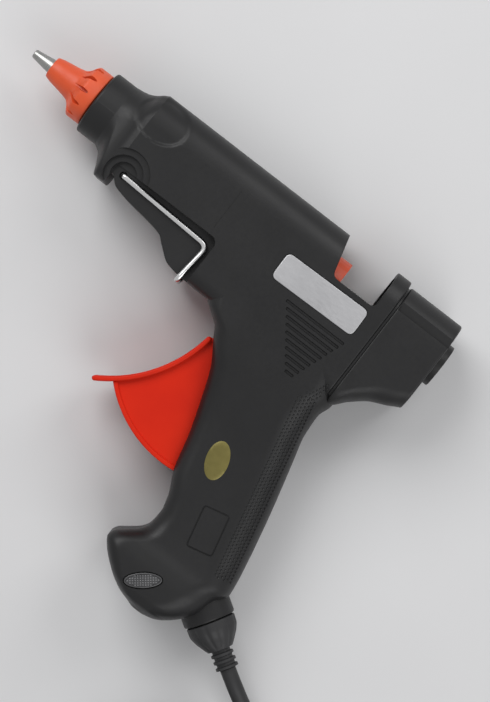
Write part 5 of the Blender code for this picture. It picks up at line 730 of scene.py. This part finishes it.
# Nozzle. Turned from brass and nickel plated: a slender cone with a fine outlet, a wider foot
# under the boot, and a spigot that screws into the melt chamber.
tip = gun(0.1893, 0)
rearward = np.array([1.0, 0, 0])
plated = finish(
    "plated_brass", (0.34, 0.34, 0.33), 0.3, 1.0, shine=((220, 3, (14, 1, 1)), 0.24, 0.38),
    shades=((160,), (0.31, 0.31, 0.30), (0.38, 0.38, 0.37)),
    grain=((500, 2, (12, 1, 1)), 0.00002, 0.4))
nozzle = put(turned("turned_nozzle", [
    (0.0008, 0.0003), (0.0010, 0.0001), (0.00135, 0), (0.00155, 0.00012), (0.0017, 0.0004),
    (0.0030, 0.0093), (0.0052, 0.0190), (0.0068, 0.0216), (0.0068, 0.0313), (0.0046, 0.0313),
    (0.0046, 0.0385), (0.0043, 0.0388), (0.0026, 0.0388), (0.0026, 0.0120), (0.0008, 0.0060)],
    tip, rearward, 96), plated, crease=24)
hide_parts("nozzle")

# Nozzle boot. Heat-proof silicone rubber pulled over the nozzle: a smooth cone that flares
# into a foot, with twelve slits that start fine on the cone and end round in the foot.
silicone = finish(
    "silicone_rubber", (0.70, 0.088, 0.022), 0.45, shine=((500,), 0.38, 0.52),
    shades=((120,), (0.66, 0.080, 0.020), (0.74, 0.098, 0.026)),
    grain=((1500, 2), 0.00003, 0.4), dials={"Subsurface Weight": 0.08, "Subsurface Scale": 0.001})
slit_count = 12
outer = [(0.0083, 0.00385), (0.0084, 0.0041), (0.0087, 0.0043), (0.0186, 0.0063), (0.0196, 0.0067),
         (0.0208, 0.0078), (0.0220, 0.0097), (0.0227, 0.0106), (0.0233, 0.0109), (0.0284, 0.0109),
         (0.0288, 0.0107), (0.0290, 0.0103)]
slit_start, slit_round, slit_end = 0.0183, 0.0226, 0.0255
along = np.concatenate((
    [0.0083], np.linspace(0.0084, slit_start, 12),
    slit_start + (slit_round - slit_start) * np.linspace(0.004, 1, 30) ** 1.5,
    slit_round + (slit_end - slit_round) * np.sin(np.linspace(0.1, np.pi / 2, 18)),
    np.linspace(slit_end + 0.0001, 0.0290, 14), [0.0290, 0.0216, 0.0190, 0.0083, 0.0083]))
shape = eased(outer, along)
shape[-5:-1] = 0.0071, 0.0071, 0.0055, 0.0033
core = 0.0043 + (along - 0.0087) * 0.202
fine_part = np.clip((along - slit_start) / (slit_round - slit_start), 0, 1) ** 0.7
round_part = 1 - ((along - slit_round) / (slit_end - slit_round)) ** 2
opening = np.where(along < slit_round, fine_part, np.sqrt(np.clip(round_part, 0, 1)))
opening[-5:] = 0
half_slit = np.maximum(0.00078 * opening, 0.00010)[:, None]
share = np.array([0, 0.15, 0.30, 0.40, 0.44, 0.48, 0.50, 0.52, 0.60, 0.70, 0.80, 0.90])
share = np.concatenate(([-1], -share[:0:-1], share))
spare = np.pi / slit_count * shape[:, None] - half_slit
from_slit = (np.minimum(np.abs(share) / 0.5, 1) * half_slit
             + np.clip(np.abs(share) - 0.5, 0, 1) / 0.5 * spare) * np.sign(share)
a = (from_slit / shape[:, None])[:, None, :] + circle(slit_count)[:, None]
a = a.reshape(len(along), -1)
sunk = smooth((0.5 - np.abs(share)) / 0.12)
sunk = np.tile(sunk, slit_count) * np.clip(opening * 5, 0, 1)[:, None]
radii = shape[:, None] - sunk * np.clip(shape - core - 0.0001, 0, 1)[:, None]
boot_grid = tip + np.stack((np.broadcast_to(along[:, None], radii.shape), radii * np.cos(a),
                            radii * np.sin(a)), axis=-1)
boot = put(surface("silicone_boot", boot_grid, capped=False), silicone)
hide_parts("nozzle_boot")


# Trigger. One orange nylon moulding: a broad rounded finger face that overhangs the web at
# its toe, a rim along the bottom edge, and a hub with two arms that reach up to the clamp.
def arc(centre, radius, start, end, count=24):
    """Points on a circle: the centre plus the radius times cos and sin of equal angle steps."""
    return centre + radius * heading(np.linspace(start, end, count))


def turn_of(way):
    """The angle of a direction in the side plane."""
    return float(np.arctan2(way[1], way[0]))


def slab(name, outline, half_width, edge):
    """A prism centred on the middle plane, its long edges rounded by a quarter circle."""
    a = np.linspace(0, np.pi / 2, 5)
    out = half_width - edge * (1 - np.sin(a))
    shrink = -edge * (1 - np.cos(a))
    stations = list(zip(-out[::-1], shrink[::-1])) + list(zip(out, shrink))
    return prism(name, outline, stations)


def long_hole(start, end, radius):
    """The outline round two centres: a half circle at each, square to the line between."""
    turn = turn_of(end - start)
    return np.concatenate((arc(start, radius, turn + np.pi / 2, turn + 3 * np.pi / 2),
                           arc(end, radius, turn - np.pi / 2, turn + np.pi / 2)))


pivot = np.array([-0.0602, -0.0443])
face_top, toe = np.array([-0.0746, -0.0430]), np.array([-0.0996, -0.0806])
face_bow, face_thickness, rim_radius = 0.0052, 0.0020, 0.0463
chord = toe - face_top
curve = (chord @ chord / 4 + face_bow ** 2) / (2 * face_bow)
curve_centre = (face_top + toe) / 2 + unit(chord[::-1] * (1, -1)) * (curve - face_bow)
top_turn, toe_turn = (turn_of(end - curve_centre) for end in (face_top, toe))
rim_start, rim_end = np.radians(226.5), np.radians(282)
rim_corner = pivot + rim_radius * heading(rim_start)
middle, rounding = curve + face_thickness / 2, face_thickness / 2
web_line = np.concatenate((
    arc(curve_centre, middle, top_turn, turn_of(rim_corner - curve_centre)),
    arc(pivot, rim_radius - 0.00085, rim_start, rim_end),
    arc(pivot, 0.0045, -np.pi / 4, np.pi / 2, 10)))
high_turn, low_turn = top_turn - rounding / curve, toe_turn + rounding / curve
high_end, low_end = (curve_centre + middle * heading(turn) for turn in (high_turn, low_turn))
face_line = np.concatenate((
    arc(curve_centre, curve, high_turn, low_turn, 40),
    arc(low_end, rounding, low_turn + np.pi, low_turn + 2 * np.pi, 11)[1:-1],
    arc(curve_centre, curve + face_thickness, low_turn, high_turn, 40),
    arc(high_end, rounding, high_turn, high_turn + np.pi, 11)[1:-1]))
rim_line = np.concatenate((arc(pivot, rim_radius, rim_start, rim_end, 40),
                           arc(pivot, 0.0446, rim_end, rim_start, 40)))
pocket_line = np.concatenate((arc(pivot, 0.0090, np.radians(229), np.radians(300)),
                              arc(pivot, 0.0445, np.radians(300), np.radians(229))))
drive = pivot + 0.0240 * np.array([np.tan(np.radians(15)), 1])
arm_way = unit(drive - pivot)
arm_line = long_hole(pivot, drive, 0.0034)
slot_line = long_hole(pivot + arm_way * 0.0237, drive + arm_way * 0.0003, 0.0018)
arms = [prism("trigger_arm", arm_line, ((0.0066, -0.0002), (0.0068, 0), (0.0086, 0),
                                        (0.0088, -0.0002)), hand) for hand in (1, -1)]
hub_left, hub_right, pin_left, pin_right = (
    gun(-pivot[0], pivot[1], side) for side in (-0.0086, 0.0086, -0.0120, 0.0120))
trigger_mesh = carved(
    "trigger_moulding", slab("trigger_web", web_line, 0.0070, 0.0003),
    ("cut", prism("trigger_pocket", pocket_line, ((-0.0052, 0), (0.0052, 0)))),
    ("join", slab("trigger_face", face_line, 0.0095, 0.0008)),
    ("join", slab("trigger_rim", rim_line, 0.0082, 0.0004)),
    ("join", rod("trigger_hub", hub_left, hub_right, 0.0048)),
    ("join", arms[0]), ("join", arms[1]),
    ("cut", prism("arm_slots", slot_line, ((-0.0120, 0), (0.0120, 0)))),
    ("cut", rod("pin_hole", pin_left, pin_right, 0.0018)))
trigger_orange = finish(
    "trigger_nylon", (0.64, 0.016, 0.001), 0.5, shine=((800,), 0.45, 0.55),
    shades=((50,), (0.61, 0.014, 0.0008), (0.67, 0.019, 0.0014)),
    grain=((2600, 2), 0.00003, 0.35), dials={"Specular IOR Level": 0.2})
trigger = put(outward(trigger_mesh), trigger_orange, "trigger", 28)
even(trigger)
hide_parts("trigger")

# Wire stand. One length of 2.2 mm nickel-plated spring wire: its ends turn in to pivot in the
# housing's sides, two arms run back under the barrel, and two legs carry the crossbar.
bright_wire = finish(
    "bright_wire", (0.66, 0.66, 0.66), 0.2, 1.0, shine=((40,), 0.17, 0.24),
    shades=((60,), (0.62, 0.62, 0.62), (0.70, 0.70, 0.70)))
wire_radius, arm_side = 0.0011, 0.0137
half_wire = np.array([gun(*STAND_PIVOT, 0.0109), gun(*STAND_PIVOT, arm_side),
                      gun(0.0946, -0.0177, arm_side), gun(0.0963, -0.0342, arm_side)])
other_wire = half_wire[::-1] * (1, 1, -1) + (0, 0, 2 * INLET[2])
bends = [0.0022, 0.0022, 0.0036, 0.0022]
wire_line = rounded(np.concatenate((half_wire, other_wire)),
                    np.array(bends + bends[::-1])[:, None], steps=10)
stand = put(surface("stand_wire", tube_grid(wire_line, wire_radius, 28, (1, 1, 1))),
            bright_wire, "stand", 50)
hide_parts("wire_stand")

# Stick inlet. A black nylon ring set in the rear face, with a rounded mouth that leads the
# glue stick in, and a flange that the two halves hold.
collar = put(turned("inlet_ring", [
    (0.0071, 0.0002), (0.0073, 0), (0.0082, 0), (0.0085, 0.0001), (0.0086, 0.0004),
    (0.0086, 0.0053), (0.0102, 0.0053), (0.0102, 0.0068), (0.0078, 0.0068), (0.0078, 0.0150),
    (0.0062, 0.0150), (0.0062, 0.0016), (0.0065, 0.0009)], gun(0, 0), (-1, 0, 0), 96),
    housing_black, crease=30)
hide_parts("stick_inlet_collar")

# Indicator lens. A smoke-tinted clear plastic oval in the butt, moulded with a plain rim and a
# field of small studs, over the glow lamp. The studs are drawn a lighter grey than the lens
# as a painted highlight.
lens_smoke = finish(
    "lens_smoke", (0.05, 0.05, 0.052), 0.22, shine=((400,), 0.16, 0.3),
    shades=((200,), (0.040, 0.040, 0.042), (0.065, 0.065, 0.067)),
    grain=((900, 2), 0.00002, 0.3))
# Painted highlight: the studs are the same smoked plastic, given a lighter grey in place of their
# glints.
lens_stud_highlight = finish(
    "lens_stud_highlight", (0.16, 0.16, 0.165), 0.2, shine=((400,), 0.14, 0.28),
    shades=((200,), (0.13, 0.13, 0.135), (0.20, 0.20, 0.205)))
lens = put(prism("lens_oval", oval(LENS_CENTRE, 0.0140, 0.0056, LENS_TURN), (
    (0.0134, 0.0006), (0.0144, 0.0006), (0.01442, 0), (0.01772, 0), (0.01792, -0.0001),
    (0.0180, -0.0003), (0.0180, -0.0005), (0.01762, -0.0008), (0.0176, -0.0011))),
    lens_smoke, crease=25)
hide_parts("indicator_lens")
column, row = np.meshgrid((np.arange(13) - 6) * 0.00095, (np.arange(5) - 2) * 0.00085)
inside = (column / 0.0061) ** 2 + (row / 0.0020) ** 2 < 1
spot = (LENS_CENTRE + column[inside][:, None] * heading(LENS_TURN)
        + row[inside][:, None] * heading(LENS_TURN + np.pi / 2))
grain = put(studs("lens_studs", gun(-spot[:, 0], spot[:, 1], 0.0176),
                  np.tile((0, 0, 1.0), (len(spot), 1)), 0.00033, 0.0003), lens_stud_highlight)

# Strain relief. A soft PVC bell moulded round the cord: a fluted bell over the heel's mouth,
# three ribs that let it bend, and a flange and a sheath inside the butt.
s = np.linspace(0.10, 1, 24)
bell = ((0, 1), (0.28, 0.98), (0.52, 0.80), (0.76, 0.48), (1, 0.12))
boot_line = [(0, -0.0176), (0.0030, -0.0176), (0.0030, -0.0051), (0.0082, -0.0051),
             (0.0082, -0.0033), (0.0066, -0.0033), (0.0066, 0.0055), (0.0088, 0.0055),
             (0.0092, 0.0058), (0.0093, 0.0064),
             *zip(0.0043 + 0.0050 * eased(bell, s), 0.0055 + 0.0110 * s)]
for start in (0.0165, 0.0190, 0.0215):
    boot_line += [(0.0035, start + 0.0003), (0.0035, start + 0.00125), (0.0043, start + 0.00155),
                  (0.0043, start + 0.0025)]
boot_line = np.array(boot_line + [(0.0041, 0.0240), (0.0031, 0.0240), (0, 0.0240)])
a = circle(120)[None, :]
flute_depth, flute_count = 0.00030, 12
flute = np.interp(boot_line[:, 1], (0.0056, 0.0066, 0.0150, 0.0163), (0, 1, 1, 0))[:, None]
reach_out = boot_line[:, :1] - flute_depth * flute * (0.5 - 0.5 * np.cos(flute_count * a)) ** 3
level_way = np.array([-aim[1], aim[0], 0])
relief_grid = (heel + boot_line[:, None, 1:] * aim + reach_out[..., None]
               * (np.cos(a)[..., None] * level_way + np.sin(a)[..., None] * np.array([0, 0, 1.0])))
relief = put(surface("strain_relief", relief_grid, capped=False), flex_black, crease=38)
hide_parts("cord_boot")

# Screws. Six zinc-plated pan heads with a cross recess, sunk in the right half's side.
zinc_steel = finish(
    "zinc_steel", (0.52, 0.51, 0.47), 0.34, 1.0, shine=((500,), 0.26, 0.42),
    shades=((300,), (0.47, 0.46, 0.42), (0.57, 0.56, 0.52)), grain=((1200, 2), 0.00002, 0.3))
for number, (ahead, height) in enumerate(SCREWS):
    blank = turned("screw", [
        (0, -0.0018), (0.0010, -0.00177), (0.0017, -0.0015), (0.0021, -0.0010), (0.0022, -0.0006),
        (0.0022, 0), (0.0013, 0), (0.0013, 0.0138), (0.0006, 0.0153), (0, 0.0153)],
        gun(ahead, height, -0.0063), (0, 0, 1), 40)
    recess = [prism("recess", box(-w, -h, w, h) + (-ahead, height),
                    ((0.0090, 0), (0.0072, -0.0001)), -1)
              for w, h in ((0.0012, 0.00028), (0.00028, 0.0012))]
    piece = put(outward(carved(f"cross_screw_{number + 1}", blank, ("cut", recess[0]),
                               ("cut", recess[1]))), zinc_steel)
    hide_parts(f"housing_screw_{number + 1}")

# Inner works. The melt chamber and its heater stack, the feed carriage and clamp, and the
# wiring keep the shapes they are made in, each with the finish of its own material.
works = (
    ("cast_aluminium", (0.50, 0.50, 0.49), 0.52, 1.0, 0.08, "melt_chamber"),
    ("heater_aluminium", (0.60, 0.60, 0.60), 0.4, 1.0, 0.06,
     "electrode_lower electrode_upper heater_wedge"),
    ("dark_ceramic", (0.06, 0.055, 0.05), 0.7, 0.0, 0.1, "ptc_heater"),
    ("amber_film", (0.42, 0.17, 0.02), 0.25, 0.0, 0.12, "insulating_sleeve"),
    ("phenolic_ring", (0.09, 0.05, 0.028), 0.55, 0.0, 0.1, "chamber_front_ring cord_clamp"),
    ("pale_silicone", (0.56, 0.50, 0.42), 0.55, 0.0, 0.05, "inlet_sleeve"),
    ("carriage_nylon", (0.72, 0.075, 0.014), 0.4, 0.0, 0.05, "feed_carriage"),
    ("spring_steel", (0.50, 0.50, 0.50), 0.28, 1.0, 0.08,
     "return_spring sleeve_clip clamp_drive_pin clamp_pivot_pin trigger_pin"),
    ("clamp_zinc", (0.45, 0.44, 0.41), 0.42, 1.0, 0.08, "clamp_lever cord_clamp_screw_1 "
     "cord_clamp_screw_2"),
    ("lamp_glass", (0.62, 0.30, 0.20), 0.1, 0.0, 0.05, "indicator_lamp"),
    ("lead_sleeve", (0.38, 0.020, 0.015), 0.5, 0.0, 0.1, "heater_lead_1 heater_lead_2"),
    ("lead_black", (0.020, 0.020, 0.021), 0.5, 0.0, 0.1, "supply_lead_1 supply_lead_2 "
     "lead_joint_1 lead_joint_2"))
for finish_name, colour, roughness, metallic, spread, node_names in works:
    material = finish(
        finish_name, colour, roughness, metallic,
        shine=((600,), roughness - 0.06, roughness + 0.06),
        shades=((260,), tuple(c * (1 - spread) for c in colour),
                tuple(min(c * (1 + spread), 1) for c in colour)),
        grain=((1500, 2), 0.00003, 0.4))
    for node_name in node_names.split():
        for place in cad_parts[node_name].material_slots:
            place.material = material


# Floor and light. A pale matt table top runs on to a pale room, under two broad soft lamps
# at the sides, a small one above and an even sky, so that the black keeps its shape.
pale_floor = finish("pale_floor", (0.68, 0.68, 0.685), 0.75,
                    shades=((12,), (0.67, 0.67, 0.675), (0.69, 0.69, 0.695)))
floor_mesh = bpy.data.meshes.new("floor")
floor_mesh.from_pydata([(x, y, -gap) for x, y in box(-6, -6, 6, 6)], [], [(0, 1, 2, 3)])
floor_mesh.materials.append(pale_floor)
floor = linked("floor", floor_mesh)

room = bpy.data.worlds.new("room")
bpy.context.scene.world = room
room.use_nodes = True
tree = room.node_tree
path = node(tree, "LightPath", {}).outputs
mirrored = node(tree, "Math", {0: path["Is Glossy Ray"], 1: path["Is Transmission Ray"]})
shown = node(tree, "Math", {0: path["Is Camera Ray"], 1: mirrored.outputs["Value"]})
mirrored.operation = shown.operation = "MAXIMUM"
sky = mixed(tree, shown.outputs["Value"], (0.30, 0.30, 0.305), (0.66, 0.66, 0.665))
tree.links.new(sky, tree.nodes["Background"].inputs["Color"])


def soft_lamp(name, place, size, watts):
    """A square lamp of so many metres that faces the middle of the gun."""
    lamp = bpy.data.lights.new(name, "AREA")
    lamp.size = size
    lamp.energy = watts
    facing = Vector(place) - Vector((0.03, 0.02, 0.0))
    linked(name, lamp).matrix_world = (
        Matrix.Translation(place) @ facing.to_track_quat("Z", "Y").to_matrix().to_4x4())


soft_lamp("lamp_upper_left", (-0.75, 0.45, 0.95), 0.8, 8.6)
soft_lamp("lamp_lower_right", (0.85, -0.35, 0.85), 0.9, 5.0)
soft_lamp("lamp_top", (0.25, 0.95, 0.75), 0.6, 3.6)

bpy.context.scene.view_settings.view_transform = "Standard"
